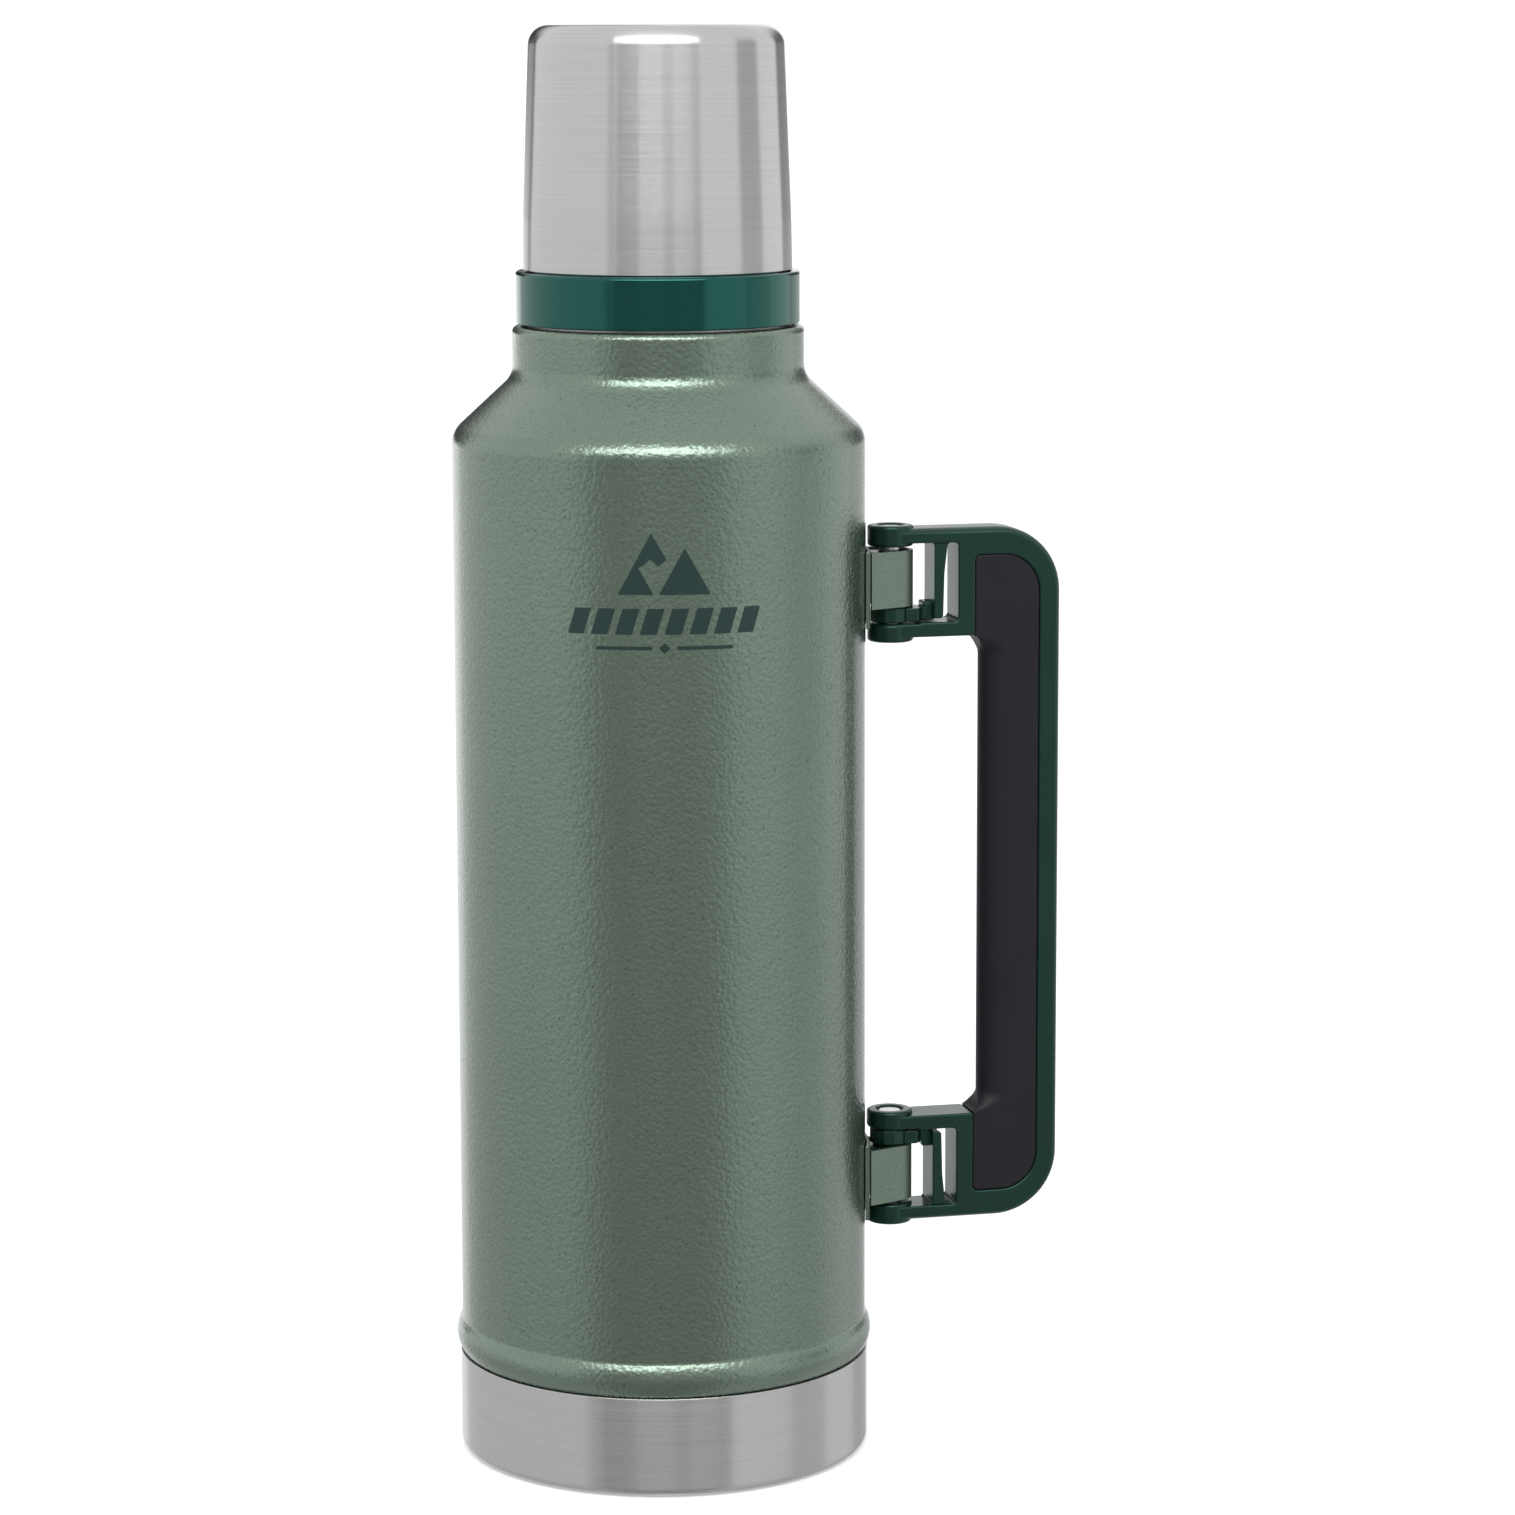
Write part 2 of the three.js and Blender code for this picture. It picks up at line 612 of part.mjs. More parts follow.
function handleFrame() {
  const top = HANDLE_MID_Z + FRAME_HALF_HEIGHT;
  const bottom = HANDLE_MID_Z - FRAME_HALF_HEIGHT;
  const outside = sidePrism(rounded([
    [PIVOT_X, bottom],
    [FRAME_OUTER_X, bottom, FRAME_CORNER],
    [FRAME_OUTER_X, top, FRAME_CORNER],
    [PIVOT_X, top],
  ], 12), FRAME_HALF_THICKNESS, FRAME_CROWN, FRAME_CROWN_DEPTH);
  const panel = sidePrism(rounded([
    [PANEL_X[0], HANDLE_MID_Z - PANEL_HALF_HEIGHT, PANEL_SMALL_CORNER],
    [PANEL_X[1], HANDLE_MID_Z - PANEL_HALF_HEIGHT, PANEL_CORNER],
    [PANEL_X[1], HANDLE_MID_Z + PANEL_HALF_HEIGHT, PANEL_CORNER],
    [PANEL_X[0], HANDLE_MID_Z + PANEL_HALF_HEIGHT, PANEL_SMALL_CORNER],
  ], 15), 2 * FRAME_HALF_THICKNESS);
  const wide = 2 * FRAME_HALF_THICKNESS;
  const handSpace = block([40, -wide, HANDLE_MID_Z - FORK_INSIDE],
    [PANEL_X[0] + 1, wide, HANDLE_MID_Z + FORK_INSIDE]);
  const joined = [outside];
  const removed = [panel, handSpace];
  for (const side of [1, -1]) {
    const [windowLow, windowHigh] = heights(FORK_WINDOW, side);
    removed.push(block([40, -wide, windowLow], [FORK_WINDOW_END_X, wide, windowHigh]));
    for (const knuckle of [OUTER_KNUCKLE, INNER_KNUCKLE]) {
      joined.push(post(KNUCKLE_RADIUS, ...heights(knuckle, side), PIVOT_X, 32));
    }
    const [boreLow, boreHigh] = heights([INNER_KNUCKLE[0] - 1, OUTER_KNUCKLE[1] + 1], side);
    removed.push(post(KNUCKLE_BORE, boreLow, boreHigh, PIVOT_X));
    // The bracket, the cam and the lock shoe turn inside this space as the handle folds.
    const [swingLow, swingHigh] = heights([INNER_KNUCKLE[1], OUTER_KNUCKLE[0]], side);
    removed.push(block([40, -wide, swingLow], [PIVOT_X + KNUCKLE_RADIUS + 0.5, wide, swingHigh]));
  }
  return carve(joined, removed);
}

function grip() {
  const inset = CLEARANCE;
  const low = HANDLE_MID_Z - PANEL_HALF_HEIGHT + inset;
  const high = HANDLE_MID_Z + PANEL_HALF_HEIGHT - inset;
  const panel = sidePrism(rounded([
    [PANEL_X[0] + inset, low, PANEL_SMALL_CORNER],
    [PANEL_X[1] - inset, low, PANEL_CORNER - inset],
    [PANEL_X[1] - inset, high, PANEL_CORNER - inset],
    [PANEL_X[0] + inset, high, PANEL_SMALL_CORNER],
  ], 15), GRIP_HALF_THICKNESS);
  const barSection = [];
  const reach = GRIP_FLAT_X - GRIP_INNER_X;
  for (let i = 0; i <= 8; i += 1) {
    const angle = Math.PI / 2 + Math.PI * i / 8;
    barSection.push([GRIP_FLAT_X + reach * Math.cos(angle), GRIP_HALF_THICKNESS * Math.sin(angle)]);
  }
  barSection.push([PANEL_X[1] - inset, -GRIP_HALF_THICKNESS], [PANEL_X[1] - inset, GRIP_HALF_THICKNESS]);
  const barLow = HANDLE_MID_Z - FORK_INSIDE;
  const barHigh = HANDLE_MID_Z + FORK_INSIDE;
  const handSpace = block([40, -20, barLow], [PANEL_X[1] - 2, 20, barHigh]);
  const ends = carve([panel], [handSpace]);
  return carve([ends, uprightPrism(barSection, barLow - 0.2, barHigh + 0.2)]);
}

function hingePin(side) {
  return post(PIN_RADIUS, ...heights(PIN_SPAN, side), PIVOT_X);
}

/** The strap's plan: two legs that run in to a loop round the pin, offset inwards by depth. */
function strapHalfPath(depth) {
  const radius = STRAP_LOOP_RADIUS - depth;
  const legDegrees = 90 - THREE.MathUtils.radToDeg(STRAP_LEG_ANGLE);
  const loop = arc(PIVOT_X, 0, radius, -legDegrees, legDegrees, 8);
  const [tangentX, tangentY] = loop[loop.length - 1];
  const footY = tangentY + (tangentX - STRAP_FOOT_X) * Math.tan(STRAP_LEG_ANGLE);
  return [[STRAP_FOOT_X, -footY], ...loop, [STRAP_FOOT_X, footY]];
}

function strap(side) {
  const outline = [...strapHalfPath(0), ...strapHalfPath(STRAP_THICKNESS).reverse()];
  return uprightPrism(outline, ...heights(STRAP_SPAN, side));
}

function bracketPlate(side) {
  const inner = BODY_RADIUS + CLEARANCE;
  const degrees = THREE.MathUtils.radToDeg(PLATE_HALF_ANGLE);
  const outline = [
    ...arc(0, 0, inner + PLATE_THICKNESS, -degrees, degrees, 8),
    ...arc(0, 0, inner, degrees, -degrees, 8),
  ];
  return uprightPrism(outline, ...heights(PLATE_SPAN, side));
}

function camBush(side) {
  const wheel = post(CAM_RADIUS, ...heights(CAM_SPAN, side), PIVOT_X, CAM_FACETS);
  const bushSpan = heights([CAM_SPAN[0] + 1, STRAP_SPAN[1]], side);
  const bush = post(STRAP_LOOP_RADIUS - STRAP_THICKNESS - CLEARANCE, ...bushSpan, PIVOT_X);
  const [keyLow, keyHigh] = heights([STRAP_SPAN[0] + 0.5, STRAP_SPAN[1]], side);
  const key = block([CAM_KEY_X, -CAM_KEY_HALF_WIDTH, keyLow], [PIVOT_X, CAM_KEY_HALF_WIDTH, keyHigh]);
  const [boreLow, boreHigh] = heights([CAM_SPAN[0] - 1, STRAP_SPAN[1] + 1], side);
  return carve([wheel, bush, key], [post(PIN_RADIUS + CLEARANCE, boreLow, boreHigh, PIVOT_X)]);
}

function lockArm(side) {
  const degrees = THREE.MathUtils.radToDeg(LOCK_SHOE_REACH);
  const saddle = arc(PIVOT_X, 0, CAM_RADIUS + CLEARANCE + 0.05, degrees, -degrees, 8);
  const shoe = uprightPrism([
    ...saddle,
    [LOCK_SHOE_BACK_X - 1.5, -LOCK_STRIP_HALF_WIDTH],
    [LOCK_SHOE_BACK_X, -LOCK_NECK_HALF_WIDTH],
    [LOCK_STRIP_X[0] + 0.5, -LOCK_NECK_HALF_WIDTH],
    [LOCK_STRIP_X[0] + 0.5, LOCK_NECK_HALF_WIDTH],
    [LOCK_SHOE_BACK_X, LOCK_NECK_HALF_WIDTH],
    [LOCK_SHOE_BACK_X - 1.5, LOCK_STRIP_HALF_WIDTH],
  ].reverse(), ...heights(LOCK_SHOE_SPAN, side));
  const [linkLow, linkHigh] = heights([LOCK_SHOE_SPAN[0] + 1, LOCK_LINK_TOP], side);
  const link = block([LOCK_LINK_X, -LOCK_LINK_HALF_WIDTH, linkLow],
    [LOCK_STRIP_X[0] + 0.5, LOCK_LINK_HALF_WIDTH, linkHigh]);
  const rootZ = FORK_WINDOW[1] - CLEARANCE;
  const stripOutline = [
    [LOCK_STRIP_X[0], LOCK_SHOE_SPAN[0] + 0.6],
    [LOCK_STRIP_X[1] - 0.3, LOCK_SHOE_SPAN[0] + 0.6],
    [LOCK_STRIP_X[1], rootZ - 8],
    [LOCK_STRIP_X[1] + 0.8, rootZ],
    [LOCK_STRIP_X[0], rootZ],
  ].map(([x, height]) => [x, HANDLE_MID_Z + side * height]);
  const ordered = side > 0 ? stripOutline : stripOutline.reverse();
  return carve([sidePrism(ordered, LOCK_STRIP_HALF_WIDTH), shoe, link]);
}

// ---------------------------------------------------------------- assembly
const bottle = new THREE.Group();
addPiece(bottle, 'outer_shell', 'hammertone', outerShell());
addPiece(bottle, 'base_cup', 'brushedSteel', baseCup());
addPiece(bottle, 'shell_bottom', 'brushedSteel', shellBottom());
addPiece(bottle, 'vacuum_seal', 'sealGlass', vacuumSeal());
addPiece(bottle, 'getter', 'brightSteel', getter());
addPiece(bottle, 'inner_liner', 'brushedSteel', innerLiner());
addPiece(bottle, 'neck_sleeve', 'brushedSteel', neckSleeve());
flask.add(bottle);

const cup = new THREE.Group();
const insulationDepth = CUP_WALL + CLEARANCE;
const linerDepth = insulationDepth + CUP_INSULATION + CLEARANCE;
addPiece(cup, 'cup_shell', 'brushedSteel',
  cupWall(0, CUP_WALL, COLLAR_TOP_Z + CLEARANCE, ROUND_SEGMENTS));
addPiece(cup, 'cup_collar', 'glossGreen', cupCollar());
addPiece(cup, 'cup_insulation', 'foam',
  cupWall(insulationDepth, CUP_INSULATION, CUP_SPIGOT_TOP_Z + CLEARANCE, INNER_SEGMENTS));
addPiece(cup, 'cup_liner', 'brushedSteel',
  cupWall(linerDepth, CUP_WALL, CUP_SHELF_Z + CUP_SHELF_THICKNESS + CLEARANCE, INNER_SEGMENTS));
addPiece(cup, 'cup_gasket', 'silicone',
  ringOf(...CUP_GASKET_RADII, MOUTH_RIM_Z + CLEARANCE, CUP_SHELF_Z - CLEARANCE));
flask.add(cup);

const stopper = new THREE.Group();
addPiece(stopper, 'stopper_body', 'blackPlastic', stopperBody());
addPiece(stopper, 'stopper_cap', 'blackPlastic', stopperCap());
addPiece(stopper, 'stopper_insulation', 'foam', stopperInsulation());
addPiece(stopper, 'stopper_gasket', 'silicone',
  ringOf(...GASKET_RADII, STEM_BOTTOM_Z - CLEARANCE - GASKET_THICKNESS, STEM_BOTTOM_Z - CLEARANCE));
addPiece(stopper, 'stopper_rim_seal', 'silicone',
  ringOf(...RIM_SEAL_RADII, MOUTH_RIM_Z + CLEARANCE, FLANGE_BOTTOM_Z - CLEARANCE));
flask.add(stopper);

const handle = new THREE.Group();
addPiece(handle, 'handle_frame', 'satinGreen', handleFrame());
addPiece(handle, 'grip', 'charcoal', grip());
flask.add(handle);

const hinges = new THREE.Group();
for (const [place, side] of [['upper', 1], ['lower', -1]]) {
  addPiece(hinges, `${place}_bracket_strap`, 'hammertone', strap(side));
  addPiece(hinges, `${place}_bracket_plate`, 'hammertone', bracketPlate(side));
  addPiece(hinges, `${place}_cam`, 'satinGreen', camBush(side));
  addPiece(hinges, `${place}_hinge_pin`, 'brightSteel', hingePin(side));
  addPiece(hinges, `${place}_lock_arm`, 'satinGreen', lockArm(side));
}
flask.add(hinges);

export default flask;
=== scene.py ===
"""A steel vacuum flask with a screw-on cup, a screw-in stopper and a folding side handle.

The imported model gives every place, body and joint. This script makes a fine piece over each of its
nodes, dresses it in a procedural finish, and adds the camera, the floor and the light.
Sizes are in millimetres, and a mesh is scaled to metres as it is written.
"""
import json
import logging
import math
from dataclasses import dataclass, field
from enum import Enum
from typing import Iterable, Sequence, Union

import bmesh
import bpy
from mathutils import Euler, Matrix, Vector


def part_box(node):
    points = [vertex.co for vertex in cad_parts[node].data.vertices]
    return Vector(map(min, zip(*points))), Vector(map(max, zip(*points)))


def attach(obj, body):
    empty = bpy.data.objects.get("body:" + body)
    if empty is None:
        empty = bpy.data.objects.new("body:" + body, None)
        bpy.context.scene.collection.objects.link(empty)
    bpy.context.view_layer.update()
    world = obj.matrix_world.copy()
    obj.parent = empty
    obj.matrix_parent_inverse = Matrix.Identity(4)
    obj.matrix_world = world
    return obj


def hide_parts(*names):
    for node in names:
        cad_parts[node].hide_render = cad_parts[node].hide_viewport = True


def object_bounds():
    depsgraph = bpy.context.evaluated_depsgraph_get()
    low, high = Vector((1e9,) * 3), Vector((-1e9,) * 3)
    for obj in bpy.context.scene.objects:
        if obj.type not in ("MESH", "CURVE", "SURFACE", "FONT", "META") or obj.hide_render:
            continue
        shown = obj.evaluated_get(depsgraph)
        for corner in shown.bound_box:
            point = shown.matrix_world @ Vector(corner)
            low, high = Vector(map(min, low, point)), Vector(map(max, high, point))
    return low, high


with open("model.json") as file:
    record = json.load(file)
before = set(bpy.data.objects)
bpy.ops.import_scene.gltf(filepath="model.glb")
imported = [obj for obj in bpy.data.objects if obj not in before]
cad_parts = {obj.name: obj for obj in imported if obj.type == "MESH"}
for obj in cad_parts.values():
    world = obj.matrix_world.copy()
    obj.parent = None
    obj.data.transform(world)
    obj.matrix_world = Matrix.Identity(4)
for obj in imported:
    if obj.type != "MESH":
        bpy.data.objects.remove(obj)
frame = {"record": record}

CAD_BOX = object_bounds()
MM = 0.001
WELD = 0.0005  # points that are nearer than this are one, in millimetres
ON_AXIS = 1e-6  # a smaller radius lies on the axis, in millimetres
STRAIGHT = 1e-3  # a smaller turn is left as it is, in radians
LOG = logging.getLogger("flask")

Point = tuple[float, float]
Corner = tuple[float, ...]
Input = Union[float, tuple[float, ...], "Value"]


# ---------------------------------------------------------------- shader graphs
@dataclass(frozen=True)
class Value:
    """An output socket whose operators add Math nodes to its graph."""

    graph: "Graph"
    socket: bpy.types.NodeSocket

    def math(self, operation: str, *terms: Input) -> "Value":
        """Adds a Math node that works on the given terms."""
        return self.graph.node("ShaderNodeMath", {"operation": operation}, dict(enumerate(terms)))

    def __add__(self, other: Input) -> "Value":
        """Adds a value to this one."""
        return self.math("ADD", self, other)

    def __radd__(self, other: Input) -> "Value":
        """Adds this value to a number."""
        return self.math("ADD", other, self)

    def __sub__(self, other: Input) -> "Value":
        """Takes a value from this one."""
        return self.math("SUBTRACT", self, other)

    def __rsub__(self, other: Input) -> "Value":
        """Takes this value from a number."""
        return self.math("SUBTRACT", other, self)

    def __mul__(self, other: Input) -> "Value":
        """Multiplies this value by another."""
        return self.math("MULTIPLY", self, other)

    def __rmul__(self, other: Input) -> "Value":
        """Multiplies a number by this value."""
        return self.math("MULTIPLY", other, self)

    def __pow__(self, other: Input) -> "Value":
        """Raises this value to a power."""
        return self.math("POWER", self, other)

    def rise(self, low: float, high: float) -> "Value":
        """Rises smoothly from 0 at low to 1 at high."""
        sockets = {"Value": self, "From Min": low, "From Max": high}
        return self.graph.node("ShaderNodeMapRange", {"interpolation_type": "SMOOTHSTEP"}, sockets)

    def within(self, low: float, high: float, edge: float) -> "Value":
        """Is 1 between low and high and 0 outside, with soft edges."""
        return self.rise(low - edge, low + edge) * (1.0 - self.rise(high - edge, high + edge))


class Graph:
    """A node tree whose nodes all come from one method."""

    def __init__(self, tree: bpy.types.NodeTree) -> None:
        """Empties the tree and takes it over."""
        self.tree = tree
        tree.nodes.clear()

    def node(self, kind: str, settings: dict | None = None, sockets: dict | None = None,
             output: int | str = 0) -> Value:
        """Adds one node.

        Args:
            kind: The node's type.
            settings: Its properties, such as a Math node's operation, which are set first.
            sockets: Values or links, by socket name or number.
            output: The output that the returned value stands for.

        Returns:
            The chosen output.
        """
        made = self.tree.nodes.new(kind)
        for key, value in (settings or {}).items():
            setattr(made, key, value)
        for key, value in (sockets or {}).items():
            if isinstance(value, Value):
                self.tree.links.new(value.socket, made.inputs[key])
            else:
                made.inputs[key].default_value = value
        return Value(self, made.outputs[output] if len(made.outputs) else None)

    def place(self) -> tuple[Value, Value, Value]:
        """Finds the point being shaded.

        Returns:
            Its x, y and z in the piece's own frame, in millimetres.
        """
        object_point = self.node("ShaderNodeTexCoord", output="Object")
        split = self.node("ShaderNodeSeparateXYZ", None, {"Vector": object_point})
        sockets = split.socket.node.outputs
        x, y, z = (Value(self, sockets[axis]) * (1.0 / MM) for axis in "XYZ")
        return x, y, z

    def vector(self, x: Input, y: Input, z: Input) -> Value:
        """Joins three values into a vector."""
        return self.node("ShaderNodeCombineXYZ", None, {"X": x, "Y": y, "Z": z})

    def noise(self, point: Value, scale: float, detail: float = 2.0, roughness: float = 0.5) -> Value:
        """Adds a noise between 0 and 1, with its scale in cycles per unit of the point."""
        sockets = {"Vector": point, "Scale": scale, "Detail": detail, "Roughness": roughness}
        return self.node("ShaderNodeTexNoise", None, sockets, "Fac")

    def cells(self, point: Value, scale: float) -> Value:
        """Adds the smooth distance to the nearest of many scattered centres."""
        sockets = {"Vector": point, "Scale": scale, "Smoothness": 0.35}
        return self.node("ShaderNodeTexVoronoi", {"feature": "SMOOTH_F1"}, sockets, "Distance")

    def tint(self, low: Sequence[float], high: Sequence[float], share: Value) -> Value:
        """Mixes two colours by a share."""
        sockets = {"Factor": share, 6: (*low, 1.0), 7: (*high, 1.0)}
        return self.node("ShaderNodeMix", {"data_type": "RGBA"}, sockets, 2)

    def bump(self, height: Value) -> Value:
        """Turns a height in millimetres into a normal."""
        sockets = {"Strength": 1.0, "Distance": MM, "Height": height}
        return self.node("ShaderNodeBump", None, sockets, "Normal")


# ---------------------------------------------------------------- finishes
class Slot(Enum):
    """The record's material slots."""

    HAMMERTONE = "hammertone"
    BRACKET_PAINT = "bracket_paint"
    BRUSHED_STEEL = "brushed_steel"
    LINER_STEEL = "liner_steel"
    BARE_STEEL = "bare_steel"
    PIN_STEEL = "pin_steel"
    GLOSS_GREEN = "gloss_green"
    SATIN_GREEN = "satin_green"
    GRIP_CHARCOAL = "grip_charcoal"
    BLACK_PLASTIC = "black_plastic"
    SILICONE = "silicone"
    FOAM = "foam"
    SEAL_GLASS = "seal_glass"


@dataclass(frozen=True)
class Finish:
    """A plain finish, and what every other finish builds on."""

    name: str
    slot: Slot | None
    color: tuple[float, float, float]
    roughness: float
    metallic: float = 0.0
    constants: tuple[tuple[str, Input], ...] = ()

    def vary(self, graph: Graph) -> dict[str, Value]:
        """Gives the inputs that vary over the surface.

        Args:
            graph: The material's graph.

        Returns:
            The values by the name of the shader's input.
        """
        return {}

    def material(self) -> bpy.types.Material:
        """Makes the material the first time it's asked for.

        Returns:
            The material.
        """
        known = bpy.data.materials.get(self.name)
        if known:
            return known
        material = bpy.data.materials.new(self.name)
        material.use_nodes = True
        graph = Graph(material.node_tree)
        sockets: dict[str, Input] = {
            "Base Color": (*self.color, 1.0),
            "Roughness": self.roughness,
            "Metallic": self.metallic,
            **dict(self.constants),
            **self.vary(graph),
        }
        surface = graph.node("ShaderNodeBsdfPrincipled", None, sockets)
        graph.node("ShaderNodeOutputMaterial", None, {"Surface": surface})
        return material


@dataclass(frozen=True)
class HammeredEnamel(Finish):
    """Hammertone enamel: a pebbled metallic paint with darker specks between the pebbles."""

    speck: tuple[float, float, float] = (0.05, 0.07, 0.055)
    pebble: float = 1.15
    depth: float = 0.05
    grain_per_pebble: float = 2.4
    specks_per_pebble: float = 1.5
    speck_limits: Point = (0.56, 0.70)
    cloud_scale: float = 0.035
    speck_share: float = 0.62
    grain_share: float = 0.22
    cloud_share: float = 0.12
    grain_height: float = 0.5
    grain_gloss: float = 0.16
    speck_gloss: float = 0.08

    def vary(self, graph: Graph) -> dict[str, Value]:
        """Gives the pebbled colour, gloss and relief.

        Args:
            graph: The material's graph.

        Returns:
            The values by the name of the shader's input.
        """
        point = graph.vector(*graph.place())
        pebbles = graph.cells(point, 1.0 / self.pebble)
        grain = graph.noise(point, self.grain_per_pebble / self.pebble, 3.0)
        cloud = graph.noise(point, self.cloud_scale)
        mottle = graph.noise(point, self.specks_per_pebble / self.pebble, 4.0, 0.7)
        specks = mottle.rise(*self.speck_limits)
        share = specks * self.speck_share + grain * self.grain_share + cloud * self.cloud_share
        height = (grain * self.grain_height - pebbles) * self.depth
        gloss = (grain - 0.5) * self.grain_gloss + specks * self.speck_gloss
        return {
            "Base Color": graph.tint(self.color, self.speck, share),
            "Roughness": self.roughness + gloss,
            "Normal": graph.bump(height),
        }


@dataclass(frozen=True)
class TurnedSteel(Finish):
    """Steel brushed round its axis, with fine and coarse brush lines."""

    line: float = 0.16
    depth: float = 0.0025
    streak: float = 0.04
    fine_around: float = 0.03
    coarse_around: float = 0.015
    coarse_along: float = 1.7
    darkest: float = 0.93
    contrast: Point = (0.3, 0.7)

    def vary(self, graph: Graph) -> dict[str, Value]:
        """Gives the brush lines, which run round the axis.

        Args:
            graph: The material's graph.

        Returns:
            The values by the name of the shader's input.
        """
        x, y, z = graph.place()
        along = z - (x * x + y * y) ** 0.5
        fine = graph.noise(graph.vector(x * self.fine_around, y * self.fine_around,
                                        along * (1.0 / self.line)), 1.0)
        coarse = graph.noise(graph.vector(x * self.coarse_around, y * self.coarse_around,
                                          along * self.coarse_along), 1.0, 3.0)
        share = fine * 0.5 + coarse * 0.5
        darker = tuple(channel * self.darkest for channel in self.color)
        return {
            "Base Color": graph.tint(darker, self.color, share.rise(*self.contrast)),
            "Roughness": self.roughness + (share - 0.5) * 2.0 * self.streak,
            "Normal": graph.bump((fine + coarse) * self.depth),
        }


@dataclass(frozen=True)
class Moulded(Finish):
    """A moulded plastic or rubber, with a fine mould grain and a slight unevenness."""

    grain: float = 0.35
    depth: float = 0.004
    mottle: float = 0.06
    cloud_scale: float = 0.06
    darkest: float = 0.8
    contrast: Point = (0.2, 0.7)

    def vary(self, graph: Graph) -> dict[str, Value]:
        """Gives the mould grain.

        Args:
            graph: The material's graph.

        Returns:
            The values by the name of the shader's input.
        """
        point = graph.vector(*graph.place())
        grain = graph.noise(point, 1.0 / self.grain, 3.0, 0.6)
        cloud = graph.noise(point, self.cloud_scale)
        share = (cloud * 0.5 + grain * 0.5).rise(*self.contrast)
        darker = tuple(channel * self.darkest for channel in self.color)
        return {
            "Base Color": graph.tint(darker, self.color, share),
            "Roughness": self.roughness + (grain - 0.5) * self.mottle + (cloud - 0.5) * self.mottle,
            "Normal": graph.bump(grain * self.depth),
        }


class Finishes:
    """Every finish on the flask."""

    HAMMERTONE = HammeredEnamel(
        "hammertone_enamel", Slot.HAMMERTONE, (0.195, 0.258, 0.207), 0.27, 0.9,
        (("Coat Weight", 0.4), ("Coat Roughness", 0.12)), depth=0.10)
    BRACKET = HammeredEnamel(
        "bracket_enamel", Slot.BRACKET_PAINT, (0.19, 0.25, 0.205), 0.40, 0.8,
        (("Coat Weight", 0.15), ("Coat Roughness", 0.3)), pebble=0.9, depth=0.02)
    CUP_STEEL = TurnedSteel(
        "brushed_cup_steel", Slot.BRUSHED_STEEL, (0.555, 0.555, 0.555), 0.22, 1.0,
        (("Anisotropic", 1.0), ("Anisotropic Rotation", 0.25)), depth=0.004, streak=0.03)
    BASE_STEEL = TurnedSteel(
        "brushed_base_steel", Slot.BRUSHED_STEEL, (0.55, 0.55, 0.55), 0.27, 1.0,
        (("Anisotropic", 1.0), ("Anisotropic Rotation", 0.25)), line=0.3, depth=0.003)
    LINER_STEEL = TurnedSteel(
        "drawn_liner_steel", Slot.LINER_STEEL, (0.56, 0.56, 0.55), 0.34, 1.0, depth=0.004)
    BARE_STEEL = TurnedSteel(
        "bare_pressed_steel", Slot.BARE_STEEL, (0.52, 0.52, 0.51), 0.38, 1.0, line=0.4, depth=0.006)
    PIN_STEEL = TurnedSteel(
        "turned_pin_steel", Slot.PIN_STEEL, (0.72, 0.71, 0.68), 0.26, 1.0, line=0.12, depth=0.002)
    GLOSS_GREEN = Moulded(
        "gloss_green_plastic", Slot.GLOSS_GREEN, (0.001, 0.008, 0.006), 0.06, 0.0,
        (("IOR", 1.83), ("Specular Tint", (0.20, 1.0, 0.84, 1.0))), depth=0.0006, mottle=0.02)
    SATIN_GREEN = Moulded(
        "satin_green_plastic", Slot.SATIN_GREEN, (0.005, 0.017, 0.012), 0.28, 0.0,
        (("Specular IOR Level", 0.5), ("Specular Tint", (0.5, 1.0, 0.82, 1.0))), depth=0.0015)
    CHARCOAL = Moulded(
        "charcoal_soft_touch", Slot.GRIP_CHARCOAL, (0.009, 0.009, 0.013), 0.50, 0.0,
        (("Specular IOR Level", 0.25),), depth=0.007)
    BLACK_PLASTIC = Moulded(
        "moulded_black_plastic", Slot.BLACK_PLASTIC, (0.012, 0.013, 0.0125), 0.38)
    SILICONE = Moulded(
        "clear_white_silicone", Slot.SILICONE, (0.62, 0.62, 0.59), 0.5, 0.0,
        (("Subsurface Weight", 0.15),), depth=0.002)
    FOAM = Moulded(
        "cream_foam", Slot.FOAM, (0.75, 0.70, 0.58), 0.9, grain=0.8, depth=0.06)
    SEAL_GLASS = Moulded(
        "grey_seal_glass", Slot.SEAL_GLASS, (0.22, 0.24, 0.25), 0.25, depth=0.01)
    INK = Moulded(
        "dark_green_ink", None, (0.008, 0.026, 0.023), 0.40, 0.0,
        (("Specular IOR Level", 0.35),), depth=0.012)


# ---------------------------------------------------------------- outlines
def arc(center: Point, radius: float, start: float, end: float, steps: int) -> list[Point]:
    """Gives the points of an arc.

    Args:
        center: The arc's centre.
        radius: Its radius.
        start: The angle of its first point, in degrees.
        end: The angle of its last point, in degrees.
        steps: How many chords stand for it.

    Returns:
        The points, both ends included.
    """
    angles = (math.radians(start + (end - start) * i / steps) for i in range(steps + 1))
    return [(center[0] + radius * math.cos(a), center[1] + radius * math.sin(a)) for a in angles]


